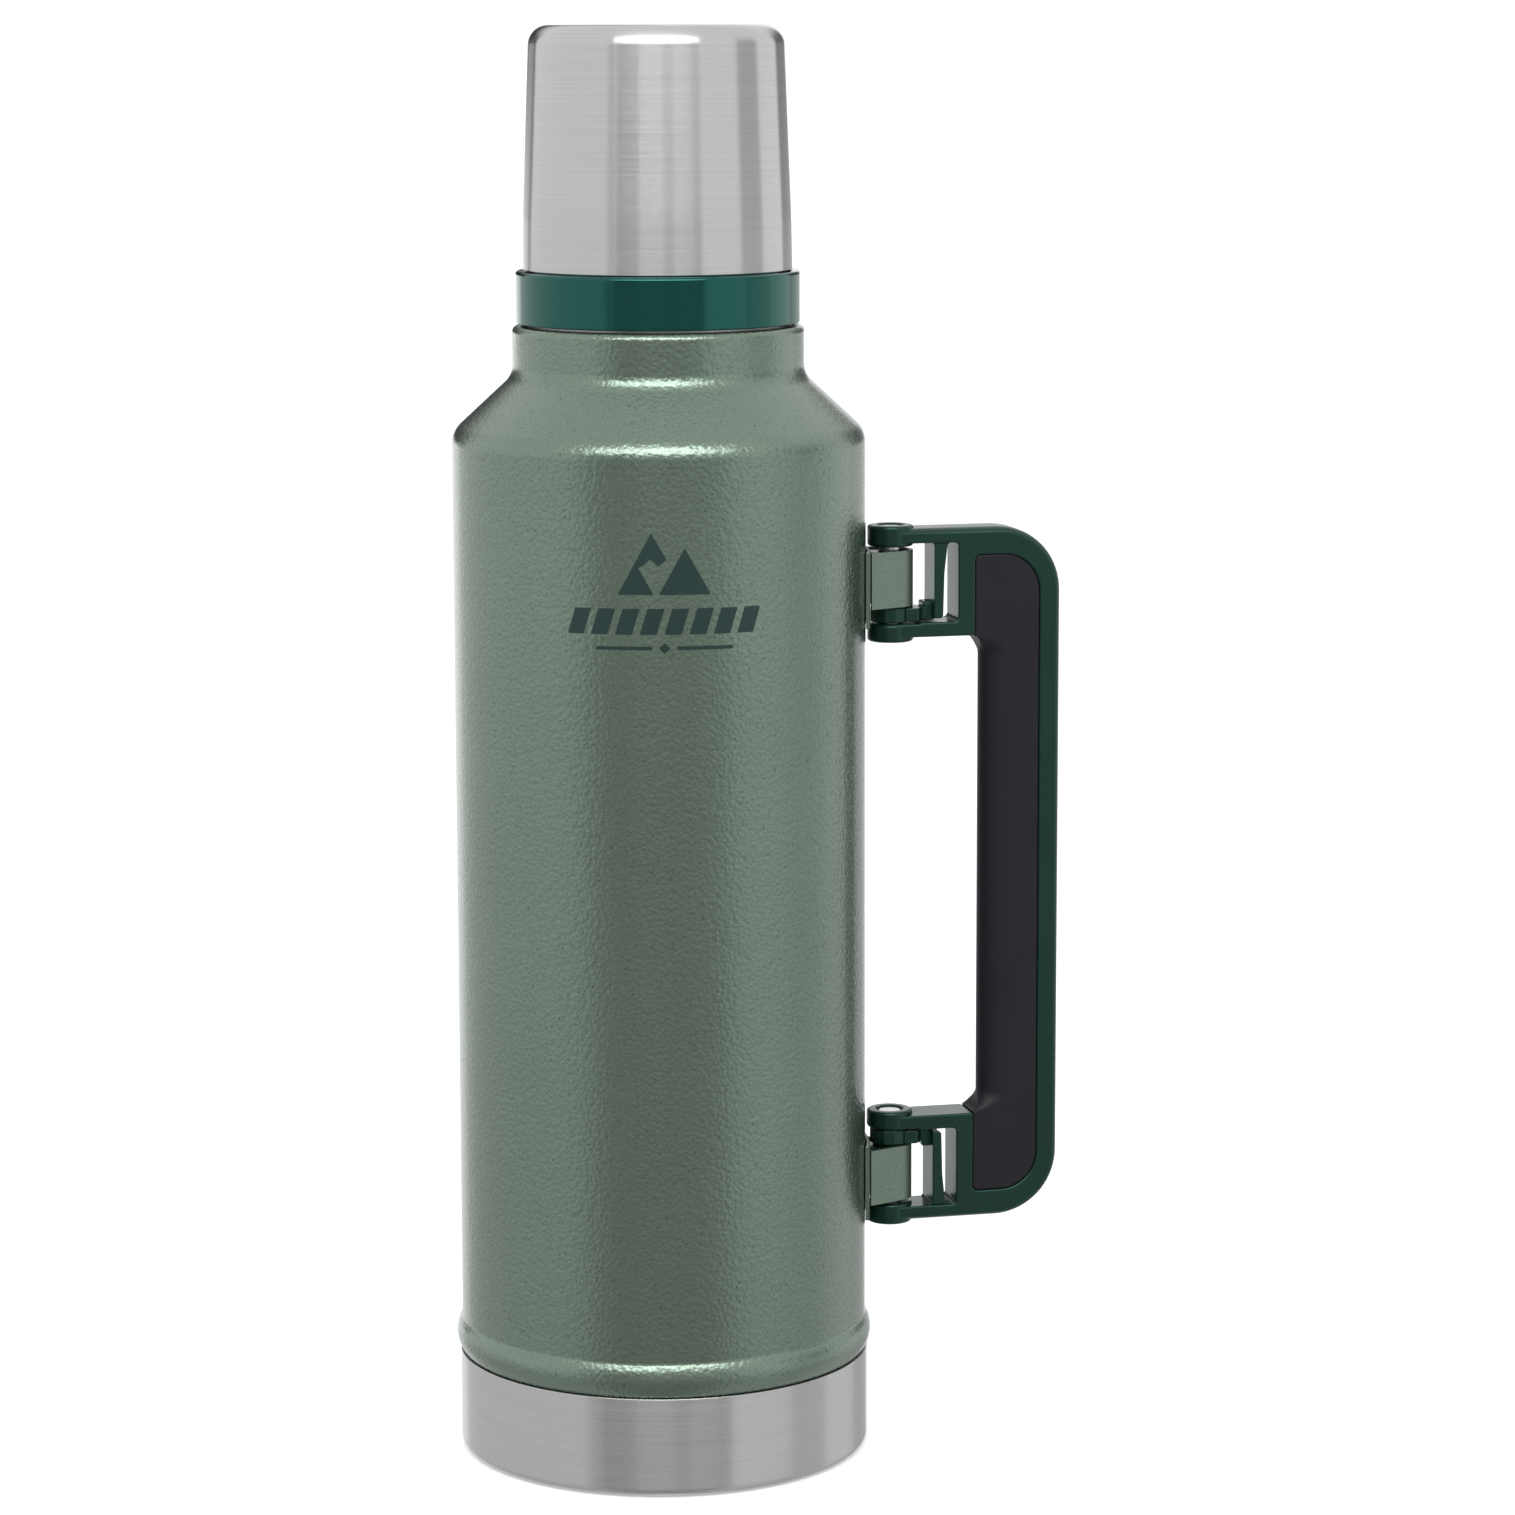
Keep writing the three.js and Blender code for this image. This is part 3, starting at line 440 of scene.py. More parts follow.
def rounded(corners: Sequence[Corner], step: float = 9.0) -> list[Point]:
    """Rounds the corners of a closed outline.

    Args:
        corners: Points, each with the radius that rounds it where it has a third number.
        step: The largest turn of one chord, in degrees.

    Returns:
        The outline's points.
    """
    points: list[Point] = []
    for i, corner in enumerate(corners):
        here = Vector(corner[:2])
        radius = corner[2] if len(corner) > 2 else 0.0
        back = (Vector(corners[i - 1][:2]) - here).normalized()
        ahead = (Vector(corners[(i + 1) % len(corners)][:2]) - here).normalized()
        turn = math.pi - back.angle(ahead)
        if radius == 0.0 or turn < STRAIGHT:
            points.append((here.x, here.y))
            continue
        tangent = radius * math.tan(turn / 2)
        center = here + (back + ahead).normalized() * math.hypot(radius, tangent)
        spoke = here + back * tangent - center
        end = here + ahead * tangent - center
        sweep = math.copysign(turn, spoke.x * end.y - spoke.y * end.x)
        steps = max(2, math.ceil(math.degrees(turn) / step))
        for k in range(steps + 1):
            point = center + Matrix.Rotation(sweep * k / steps, 2) @ spoke
            points.append((point.x, point.y))
    return points


def anticlockwise(points: Sequence[Corner]) -> list[Corner]:
    """Gives an outline that runs anticlockwise."""
    area = sum(a[0] * b[1] - b[0] * a[1] for a, b in zip(points, [*points[1:], points[0]]))
    return list(points) if area > 0 else list(reversed(points))


# ---------------------------------------------------------------- solids
@dataclass(frozen=True)
class Span:
    """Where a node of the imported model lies, in millimetres."""

    low: Vector
    high: Vector

    @classmethod
    def of(cls, node: str) -> "Span":
        """Measures a node."""
        low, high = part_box(node)
        return cls(low / MM, high / MM)

    @property
    def bottom(self) -> float:
        """The node's lowest height."""
        return self.low.z

    @property
    def top(self) -> float:
        """The node's greatest height."""
        return self.high.z

    @property
    def radius(self) -> float:
        """The outer radius of a node that is turned about the flask's axis."""
        return self.high.x

    @property
    def middle(self) -> Vector:
        """The middle of the node's box."""
        return (self.low + self.high) / 2


class Plane(Enum):
    """The plane that a slab's outline is drawn in."""

    PLAN = "x and y"
    SIDE = "x and z"


class Solid:
    """A closed mesh in the making, in millimetres."""

    SHARPEST = 0.3  # keeps the inset of a needle-sharp corner short

    def __init__(self) -> None:
        """Starts with nothing."""
        self.mesh = bmesh.new()

    def _close(self, rings: Sequence[Sequence[bmesh.types.BMVert]], loop: bool) -> None:
        """Joins rings of vertices by faces.

        Args:
            rings: The rings, in order. One that is a single vertex makes a fan.
            loop: Whether the last ring joins the first.
        """
        count = len(rings)
        for i in range(count if loop else count - 1):
            one, two = rings[i], rings[(i + 1) % count]
            for k in range(max(len(one), len(two))):
                n = (k + 1) % max(len(one), len(two))
                corners = [one[k % len(one)], one[n % len(one)], two[n % len(two)], two[k % len(two)]]
                kept = [v for j, v in enumerate(corners) if v is not corners[j - 1]]
                if len(kept) > 2:
                    self.mesh.faces.new(kept)

    @classmethod
    def turned(cls, corners: Sequence[Corner], segments: int = 160, axis_x: float = 0.0,
               step: float = 9.0) -> "Solid":
        """Revolves an outline round an upright axis.

        Args:
            corners: Points of radius and height, each with its own rounding where it has a third
                number. An outline that doesn't reach the axis makes a ring.
            segments: How many steps go round.
            axis_x: Where the axis stands.
            step: The largest turn of one chord of a rounding, in degrees.

        Returns:
            The solid.
        """
        made = cls()
        points = anticlockwise(rounded(corners, step))
        on_axis = min(point[0] for point in points) < ON_AXIS
        if on_axis:
            start = next(i for i, p in enumerate(points) if max(p[0], points[i - 1][0]) < ON_AXIS)
            points = points[start:] + points[:start]
        rings = []
        for radius, height in points:
            steps = 1 if radius < ON_AXIS else segments
            rings.append([
                made.mesh.verts.new((axis_x + radius * math.cos(2 * math.pi * k / segments),
                                     radius * math.sin(2 * math.pi * k / segments), height))
                for k in range(steps)
            ])
        made._close(rings, loop=not on_axis)
        return made.settled()

    @classmethod
    def slab(cls, outline: Sequence[Corner], low: float, high: float, plane: Plane,
             crown: float = 0.3, steps: int = 4) -> "Solid":
        """Extrudes an outline, with both of its rims rounded over.

        Args:
            outline: Points, each with its own crown and crown depth where it has four numbers.
            low: Where the slab starts on the third axis.
            high: Where it ends.
            plane: The plane that the outline is drawn in.
            crown: How far a rim is rounded where the point doesn't say.
            steps: How many faces round a rim.

        Returns:
            The solid.
        """
        made = cls()
        points = anticlockwise(outline)
        insides = [made._inward(points, i) for i in range(len(points))]
        shares = [k / steps for k in range(steps + 1)]
        levels = [*((share, False) for share in shares), *((1 - share, True) for share in shares)]
        rings = []
        for share, at_end in levels:
            angle = share * math.pi / 2
            ring = []
            for (a, b, *rest), inside in zip(points, insides):
                inset, depth = rest if rest else (crown, crown)
                shift = inset * (1 - math.sin(angle))
                offset = depth * (1 - math.cos(angle))
                c = high - offset if at_end else low + offset
                place = (a + inside.x * shift, b + inside.y * shift)
                at = (*place, c) if plane is Plane.PLAN else (place[0], c, place[1])
                ring.append(made.mesh.verts.new(at))
            rings.append(ring)
        made._close(rings, loop=False)
        made.mesh.faces.new(reversed(rings[0]))
        made.mesh.faces.new(rings[-1])
        return made.settled()

    @staticmethod
    def _inward(points: Sequence[Corner], i: int) -> Vector:
        """Finds the way in at a point of an anticlockwise outline.

        Args:
            points: The outline.
            i: The point's place in it.

        Returns:
            The way, lengthened so that an inset of both edges meets there.
        """
        here = Vector(points[i][:2])
        before = (here - Vector(points[i - 1][:2])).normalized()
        after = (Vector(points[(i + 1) % len(points)][:2]) - here).normalized()
        one, two = Vector((-before.y, before.x)), Vector((-after.y, after.x))
        return (one + two) / max(Solid.SHARPEST, 1 + one.dot(two))

    @classmethod
    def thread(cls, foot: float, crest: float, bottom: float, pitch: float = 4.0,
               turns: float = 1.5, foot_half: float = 1.0) -> "Solid":
        """Winds one ridge of a screw thread, which fades out at both ends.

        Args:
            foot: The radius that the ridge starts from.
            crest: The radius that it reaches, which is less than foot in a bore.
            bottom: The height of its first end.
            pitch: How far it climbs in a turn.
            turns: How many turns it has.
            foot_half: Half of its width at the foot.

        Returns:
            The solid.
        """
        made = cls()
        per_turn, fade_steps, faded = 72, 9, 0.12
        edge_half, crest_half, edge_share = 0.48, 0.3, 0.82
        steps = round(turns * per_turn)
        rings = []
        for i in range(steps + 1):
            angle = 2 * math.pi * i / per_turn
            rise = bottom + pitch * i / per_turn
            share = min(1.0, min(i, steps - i) / fade_steps)
            reach = foot + (crest - foot) * (faded + (1 - faded) * math.sin(share * math.pi / 2))
            edge = foot + (reach - foot) * edge_share
            section = [(foot, -foot_half), (edge, -edge_half), (reach, -crest_half),
                       (reach, crest_half), (edge, edge_half), (foot, foot_half)]
            rings.append([
                made.mesh.verts.new((r * math.cos(angle), r * math.sin(angle), rise + dz))
                for r, dz in section
            ])
        made._close(rings, loop=False)
        made.mesh.faces.new(reversed(rings[0]))
        made.mesh.faces.new(rings[-1])
        return made.settled()

    def settled(self) -> "Solid":
        """Welds points that meet and turns every face outwards.

        Returns:
            The same solid.
        """
        bmesh.ops.remove_doubles(self.mesh, verts=self.mesh.verts, dist=WELD)
        bmesh.ops.recalc_face_normals(self.mesh, faces=self.mesh.faces)
        return self

    def _object(self, name: str) -> bpy.types.Object:
        """Writes the mesh to a new object.

        Args:
            name: The object's name.

        Returns:
            The object, in metres.
        """
        mesh = bpy.data.meshes.new(name)
        self.mesh.to_mesh(mesh)
        mesh.transform(Matrix.Scale(MM, 4))
        made = bpy.data.objects.new(name, mesh)
        bpy.context.scene.collection.objects.link(made)
        return made

    def _combined(self, others: Iterable["Solid"], operation: str) -> "Solid":
        """Combines other solids with this one.

        Args:
            others: The other solids.
            operation: The modifier's name for joining or cutting.

        Returns:
            A new solid.
        """
        base = self._object("combine_base")
        tools = [other._object("combine_tool") for other in others]
        for tool in tools:
            step = base.modifiers.new("combine", "BOOLEAN")
            step.operation = operation
            step.solver = "MANIFOLD"
            step.object = tool
        result = Solid()
        result.mesh.from_object(base, bpy.context.evaluated_depsgraph_get())
        bmesh.ops.scale(result.mesh, vec=Vector((1, 1, 1)) / MM, verts=result.mesh.verts)
        bmesh.ops.remove_doubles(result.mesh, verts=result.mesh.verts, dist=WELD)
        for used in [base, *tools]:
            data = used.data
            bpy.data.objects.remove(used)
            bpy.data.meshes.remove(data)
        return result

    def joined(self, *others: "Solid") -> "Solid":
        """Joins other solids to this one."""
        return self._combined(others, "UNION")

    def cut(self, *others: "Solid") -> "Solid":
        """Cuts other solids from this one."""
        return self._combined(others, "DIFFERENCE")

    def moved(self, matrix: Matrix) -> "Solid":
        """Moves the solid by a matrix."""
        bmesh.ops.transform(self.mesh, matrix=matrix, verts=self.mesh.verts)
        return self

    def piece(self, name: str, sharp: float = 32.0) -> bpy.types.Object:
        """Writes the finished mesh to an object.

        Args:
            name: The piece's name.
            sharp: The angle between two faces above which their edge shows sharp, in degrees.

        Returns:
            The object.
        """
        made = self._object(name)
        self.mesh.free()
        made.data.shade_smooth()
        made.data.set_sharp_from_angle(angle=math.radians(sharp))
        steady = made.modifiers.new("flat faces", "WEIGHTED_NORMAL")
        steady.mode = "FACE_AREA_WITH_ANGLE"
        steady.keep_sharp = True
        return made


BODIES = frame["record"]["behaviour"]["bodies"]
BODY_OF = {node: body for body, nodes in BODIES.items() for node in nodes}


def install(solid: Solid, node: str, finish: Finish, name: str | None = None) -> bpy.types.Object:
    """Makes a solid the piece that stands for a node.

    Args:
        solid: The fine solid.
        node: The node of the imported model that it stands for.
        finish: What it is dressed in.
        name: The piece's name, where it only rides with the node and doesn't stand for it.

    Returns:
        The piece.
    """
    piece = solid.piece(name or f"{node}_fine")
    piece.data.materials.append(finish.material())
    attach(piece, BODY_OF[node])
    if name is None:
        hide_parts(node)
    LOG.info("%s: %d faces on %s", piece.name, len(piece.data.polygons), BODY_OF[node])
    return piece


# ---------------------------------------------------------------- the bottle
@dataclass(frozen=True)
class Emblem:
    """A plain printed emblem: twin peaks over a row of slanted blocks and a rule."""

    azimuth: float = -101.0
    center_z: float = 229.5
    thickness: float = 0.06
    slice_width: float = 1.5
    blocks: int = 8
    block_width: float = 4.2
    block_pitch: float = 6.1
    block_height: float = 6.4
    block_top: float = -4.4
    slant: float = 2.0
    rule_ends: Point = (3.0, 17.0)
    rule_z: float = -14.15
    rule_half: float = 0.45
    diamond: Point = (1.5, 1.35)
    corner: float = 0.25
    lift: float = 0.01

    def shapes(self) -> list[list[Point]]:
        """Draws the emblem.

        Returns:
            The outlines of the ink, across and up from the emblem's middle.
        """
        peaks = [
            [(-11.5, -1.0), (-3.2, 14.2), (0.6, 7.6), (-1.6, 6.0), (-3.4, 7.8), (-5.2, 6.2), (-6.4, 5.6),
             (-2.6, -1.0)],
            [(-1.4, -1.0), (5.0, 10.4), (11.5, -1.0)],
        ]
        row = []
        for i in range(self.blocks):
            left = (i - self.blocks / 2) * self.block_pitch + (self.block_pitch - self.block_width) / 2
            low, high = self.block_top - self.block_height, self.block_top
            row.append([(left - self.slant / 2, low), (left + self.block_width - self.slant / 2, low),
                        (left + self.block_width + self.slant / 2, high), (left + self.slant / 2, high)])
        near, far = self.rule_ends
        under, over = self.rule_z - self.rule_half, self.rule_z + self.rule_half
        rules = [[(left, under), (right, under), (right, over), (left, over)]
                 for left, right in ((-far, -near), (near, far))]
        half_width, half_height = self.diamond
        diamond = [(-half_width, self.rule_z), (0.0, self.rule_z - half_height),
                   (half_width, self.rule_z), (0.0, self.rule_z + half_height)]
        return [*peaks, *row, *rules, diamond]

    def build(self, radius: float) -> Solid:
        """Wraps the ink round the shell, in slices that are narrow enough to follow it.

        Args:
            radius: The shell's outer radius.

        Returns:
            The ink's solid.
        """
        made = Solid()
        for outline in self.shapes():
            corners = [(x, y, self.corner) for x, y in outline]
            slab = Solid.slab(rounded(corners, 30), 0.0, self.thickness, Plane.PLAN, crown=0.02, steps=1)
            slices = math.ceil(max(abs(v.co.x) for v in slab.mesh.verts) / self.slice_width)
            for i in range(-slices, slices + 1):
                everything = [*slab.mesh.verts, *slab.mesh.edges, *slab.mesh.faces]
                cut_at = (i * self.slice_width, 0, 0)
                bmesh.ops.bisect_plane(slab.mesh, geom=everything, plane_co=cut_at, plane_no=(1, 0, 0),
                                       dist=1e-4)
            for vert in slab.mesh.verts:
                across, up, out = vert.co
                angle = math.radians(self.azimuth) + across / radius
                reach = radius + self.lift + out
                vert.co = (reach * math.cos(angle), reach * math.sin(angle), self.center_z + up)
            mesh = bpy.data.meshes.new("ink")
            slab.mesh.to_mesh(mesh)
            made.mesh.from_mesh(mesh)
            bpy.data.meshes.remove(mesh)
        return made.settled()


@dataclass(frozen=True)
class Bottle:
    """The double-walled steel bottle, with its base cup and its bare neck."""

    gap: float = 0.3
    wall: float = 0.8
    thin_wall: float = 0.6
    body_radius: float = 52.5
    neck_radius: float = 37.0
    shoulder_base: float = 264.1
    shoulder_top: float = 278.4
    shoulder_round: float = 7.0
    shoulder_fillet: float = 6.0
    neck_rim_round: float = 1.8
    bead_bottom: float = 25.8
    bead_top: float = 34.4
    base_corner: float = 2.2
    base_rim_inside: float = 45.0
    base_step: float = 1.5
    base_recess: float = 1.0
    liner_radius: float = 48.0
    liner_shoulder: float = 257.0
    liner_shoulder_top: float = 277.6
    liner_corner: float = 7.0
    liner_fillet: float = 4.0
    mouth_radius: float = 26.9
    mouth_thread_z: float = 287.5
    mouth_thread_height: float = 0.7
    sleeve_radius: float = 33.0
    sleeve_thread_z: float = 292.9
    sleeve_thread_height: float = 0.9
    edge: float = 0.2
    bead_run_out: float = 0.72
    bead_fillet: float = 1.8
    dish_radius: Point = (9.0, 12.0)
    dish_depth: float = 1.6
    dish_round: float = 2.0
    disc_corner: float = 1.4
    pump_hole: float = 2.0
    getter_chamfer: Point = (0.8, 0.6)
    getter_recess: Point = (1.6, 0.5)
    emblem: Emblem = field(default_factory=Emblem)

    def outer_shell(self) -> Solid:
        """Turns the painted shell, from its foot inside the base cup to the rim of its neck.

        Returns:
            The solid.
        """
        span = Span.of("outer_shell")
        base = Span.of("base_cup")
        foot = base.radius - self.thin_wall - self.gap
        half = (self.bead_top - self.bead_bottom) / 2
        height = span.radius - self.body_radius
        bead_round = (half ** 2 + height ** 2) / (2 * height)
        swing = math.degrees(math.asin(half / bead_round))
        bead = arc((span.radius - bead_round, self.bead_bottom + half), bead_round, -swing,
                   self.bead_run_out * swing, 10)
        inside_neck = self.neck_radius - self.wall
        inside_body = self.body_radius - self.wall
        slope = math.atan2(self.body_radius - self.neck_radius, self.shoulder_top - self.shoulder_base)
        drop = self.wall * math.tan(slope / 2)
        lip = self.sleeve_radius + self.gap
        return Solid.turned([
            (foot, span.bottom), (foot, base.top), *bead,
            (self.body_radius, self.bead_top, self.bead_fillet),
            (self.body_radius, self.shoulder_base, self.shoulder_round),
            (self.neck_radius, self.shoulder_top, self.shoulder_fillet),
            (self.neck_radius, span.top, self.neck_rim_round),
            (lip, span.top, self.edge), (lip, span.top - self.wall, self.edge),
            (inside_neck, span.top - self.wall, 2 * self.edge),
            (inside_neck, self.shoulder_top - drop, self.shoulder_fillet + self.wall),
            (inside_body, self.shoulder_base - drop, self.shoulder_round - self.wall),
            (inside_body, self.bead_top), (foot - self.wall, base.top), (foot - self.wall, span.bottom),
        ], 240, step=5)

    def base_cup(self) -> Solid:
        """Turns the bare steel cup that closes the foot.

        Returns:
            The solid.
        """
        span = Span.of("base_cup")
        inside = span.radius - self.thin_wall
        rim = self.base_rim_inside
        return Solid.turned([
            (0, self.base_recess), (rim - self.base_step, self.base_recess, 1.0), (rim, 0, 0.8),
            (span.radius, 0, self.base_corner), (span.radius, span.top, self.edge),
            (inside, span.top, self.edge),
            (inside, self.thin_wall, self.base_corner - self.thin_wall), (rim, self.thin_wall, 1.0),
            (rim - self.base_step, self.base_recess + self.thin_wall, 0.8),
            (0, self.base_recess + self.thin_wall),
        ], 240)

    def shell_bottom(self) -> Solid:
        """Turns the pressed disc that closes the outer shell.

        Returns:
            The solid.
        """
        span = Span.of("shell_bottom")
        rim, top, hole, soft = span.radius, span.top, self.pump_hole, self.dish_round
        dish, brim = self.dish_radius
        floor = top - self.dish_depth
        return Solid.turned([
            (rim, span.bottom, self.edge), (rim, top, self.disc_corner), (brim, top, soft),
            (dish, floor, soft), (hole, floor, 0.3), (hole, floor - self.wall, 0.1),
            (dish, floor - self.wall, soft), (brim, top - self.wall, soft),
            (rim - self.wall, top - self.wall, self.disc_corner - self.wall),
            (rim - self.wall, span.bottom, self.edge),
        ], 128)

    def vacuum_seal(self) -> Solid:
        """Turns the bead of seal glass in the disc's pumping hole.

        Returns:
            The solid.
        """
        span = Span.of("vacuum_seal")
        return Solid.turned([
            (0, span.bottom), (span.radius, span.bottom, 0.6),
            (span.radius, span.top, 0.7), (0, span.top),
        ], 48)

    def getter(self) -> Solid:
        """Turns the capsule that keeps the vacuum.

        Returns:
            The solid.
        """
        span = Span.of("getter")
        radius = (span.high.x - span.low.x) / 2
        across, up = self.getter_chamfer
        rim, recess = self.getter_recess
        return Solid.turned([
            (0, span.bottom), (radius - across, span.bottom, self.edge), (radius, span.bottom + up, 0.3),
            (radius, span.top, 0.4), (radius - rim, span.top, 0.3),
            (radius - rim - 0.4, span.top - recess, 0.3), (0, span.top - recess),
        ], 64, span.middle.x)

    def inner_liner(self) -> Solid:
        """Turns the inner bottle, with the thread for the stopper in its mouth.

        Returns:
            The solid.
        """
        span = Span.of("inner_liner")
        outside, neck = span.radius, self.mouth_radius + self.thin_wall
        floor = span.bottom + self.thin_wall
        corner, fillet = self.liner_corner, self.liner_fillet
        wall = Solid.turned([
            (0, span.bottom), (outside, span.bottom, corner), (outside, self.liner_shoulder, corner),
            (neck, self.liner_shoulder_top, fillet), (neck, span.top, 0.15),
            (self.mouth_radius, span.top, 0.3),
            (self.mouth_radius, self.liner_shoulder_top, fillet + self.thin_wall),
            (self.liner_radius, self.liner_shoulder, corner - self.thin_wall),
            (self.liner_radius, floor, corner - self.thin_wall), (0, floor),
        ], 192)
        crest = self.mouth_radius - self.mouth_thread_height
        return wall.joined(Solid.thread(self.mouth_radius + self.gap, crest, self.mouth_thread_z))

    def neck_sleeve(self) -> Solid:
        """Turns the bare neck, with the thread for the cup.

        Returns:
            The solid.
        """
        span = Span.of("neck_sleeve")
        outside = self.sleeve_radius
        inside = outside - self.wall
        lip = self.mouth_radius + self.thin_wall + self.gap
        wall = Solid.turned([
            (outside, span.bottom, self.edge), (outside, span.top, 1.0), (lip, span.top, 0.15),
            (lip, span.top - self.wall, 0.15), (inside, span.top - self.wall, 0.6),
            (inside, span.bottom, self.edge),
        ], 192)
        crest = outside + self.sleeve_thread_height
        return wall.joined(Solid.thread(outside - self.gap, crest, self.sleeve_thread_z))

    def build(self) -> None:
        """Makes and dresses the bottle's pieces."""
        install(self.outer_shell(), "outer_shell", Finishes.HAMMERTONE)
        install(self.base_cup(), "base_cup", Finishes.BASE_STEEL)
        install(self.shell_bottom(), "shell_bottom", Finishes.BARE_STEEL)
        install(self.vacuum_seal(), "vacuum_seal", Finishes.SEAL_GLASS)
        install(self.getter(), "getter", Finishes.BARE_STEEL)
        install(self.inner_liner(), "inner_liner", Finishes.LINER_STEEL)
        install(self.neck_sleeve(), "neck_sleeve", Finishes.LINER_STEEL)
        install(self.emblem.build(self.body_radius), "outer_shell", Finishes.INK, "front_emblem")


# ---------------------------------------------------------------- the cup
@dataclass(frozen=True)
class Cup:
    """The insulated drinking cup that screws over the neck."""

    gap: float = 0.3
    wall: float = 0.6
    foam: float = 1.2
    corner: float = 5.0
    mouth_radius: float = 34.2
    shoulder_radius: float = 33.95
    shoulder_drop: float = 48.0
    top_radius: float = 32.05
    collar_bore: float = 34.9
    shelf_bottom: float = 304.2
    shelf_thickness: float = 1.3
    shelf_bore: float = 31.5
    spigot_wall: float = 1.1
    spigot_slack: float = 0.2
    collar_top: float = 304.7
    belly_round: float = 60.0
    thread_z: float = 295.2
    thread_height: float = 0.7
    gasket_width: float = 2.4
    gasket_lip: Point = (0.3, 0.5)

    def shell(self, node: str, depth: float, wall: float) -> Solid:
        """Turns one of the cup's nested walls, mouth down.

        Args:
            node: The node that the wall stands for.
            depth: How far its outside lies inside the cup's.
            wall: Its thickness.

        Returns:
            The wall.
        """
        span = Span.of(node)
        corner = self.corner - depth * 0.5
        top, mouth = self.top_radius - depth, self.mouth_radius - depth
        belly = self.shoulder_radius - depth
        belly_z = span.top + depth - self.shoulder_drop
        return Solid.turned([
            (0, span.top), (top, span.top, corner), (belly, belly_z, self.belly_round),
            (mouth, span.bottom, 0.15), (mouth - wall, span.bottom, 0.15),
            (belly - wall, belly_z, self.belly_round),
            (top - wall, span.top - wall, corner - wall), (0, span.top - wall),
        ], 224, step=6)

    def collar(self) -> Solid:
        """Turns the collar, with the thread that takes the neck.

        Returns:
            The solid.
        """
        span = Span.of("cup_collar")
        outside = span.radius
        spigot = self.mouth_radius - self.wall - self.gap - self.spigot_slack
        spigot_bore = spigot - self.spigot_wall
        shelf_top = self.shelf_bottom + self.shelf_thickness
        body = Solid.turned([
            (self.collar_bore, span.bottom, 0.3), (outside, span.bottom, 0.5),
            (outside, self.collar_top, 0.9), (spigot, self.collar_top, 0.1),
            (spigot, span.top, 0.3), (spigot_bore, span.top, 0.3), (spigot_bore, shelf_top, 0.1),
            (self.shelf_bore, shelf_top, 0.3), (self.shelf_bore, self.shelf_bottom, 0.3),
            (self.collar_bore, self.shelf_bottom, 0.2),
        ], 224)
        foot, crest = self.collar_bore + self.gap, self.collar_bore - self.thread_height
        return body.joined(Solid.thread(foot, crest, self.thread_z, foot_half=0.9))

    def gasket(self) -> Solid:
        """Turns the gasket under the collar's shelf, with a lip on its lower face.

        Returns:
            The solid.
        """
        span = Span.of("cup_gasket")
        inside, middle = span.radius - self.gasket_width, span.radius - self.gasket_width / 2
        half, notch = self.gasket_lip
        return Solid.turned([
            (inside, span.bottom, 0.4), (middle - half, span.bottom, 0.3),
            (middle, span.bottom + notch, 0.2), (middle + half, span.bottom, 0.3),
            (span.radius, span.bottom, 0.4),
            (span.radius, span.top, 0.4), (inside, span.top, 0.4),
        ], 128, step=20)

    def build(self) -> None:
        """Makes and dresses the cup's pieces."""
        foam_depth = self.wall + self.gap
        install(self.shell("cup_shell", 0.0, self.wall), "cup_shell", Finishes.CUP_STEEL)
        install(self.shell("cup_insulation", foam_depth, self.foam), "cup_insulation", Finishes.FOAM)
        liner_depth = foam_depth + self.foam + self.gap
        install(self.shell("cup_liner", liner_depth, self.wall), "cup_liner", Finishes.LINER_STEEL)
        install(self.collar(), "cup_collar", Finishes.GLOSS_GREEN)
        install(self.gasket(), "cup_gasket", Finishes.SILICONE)


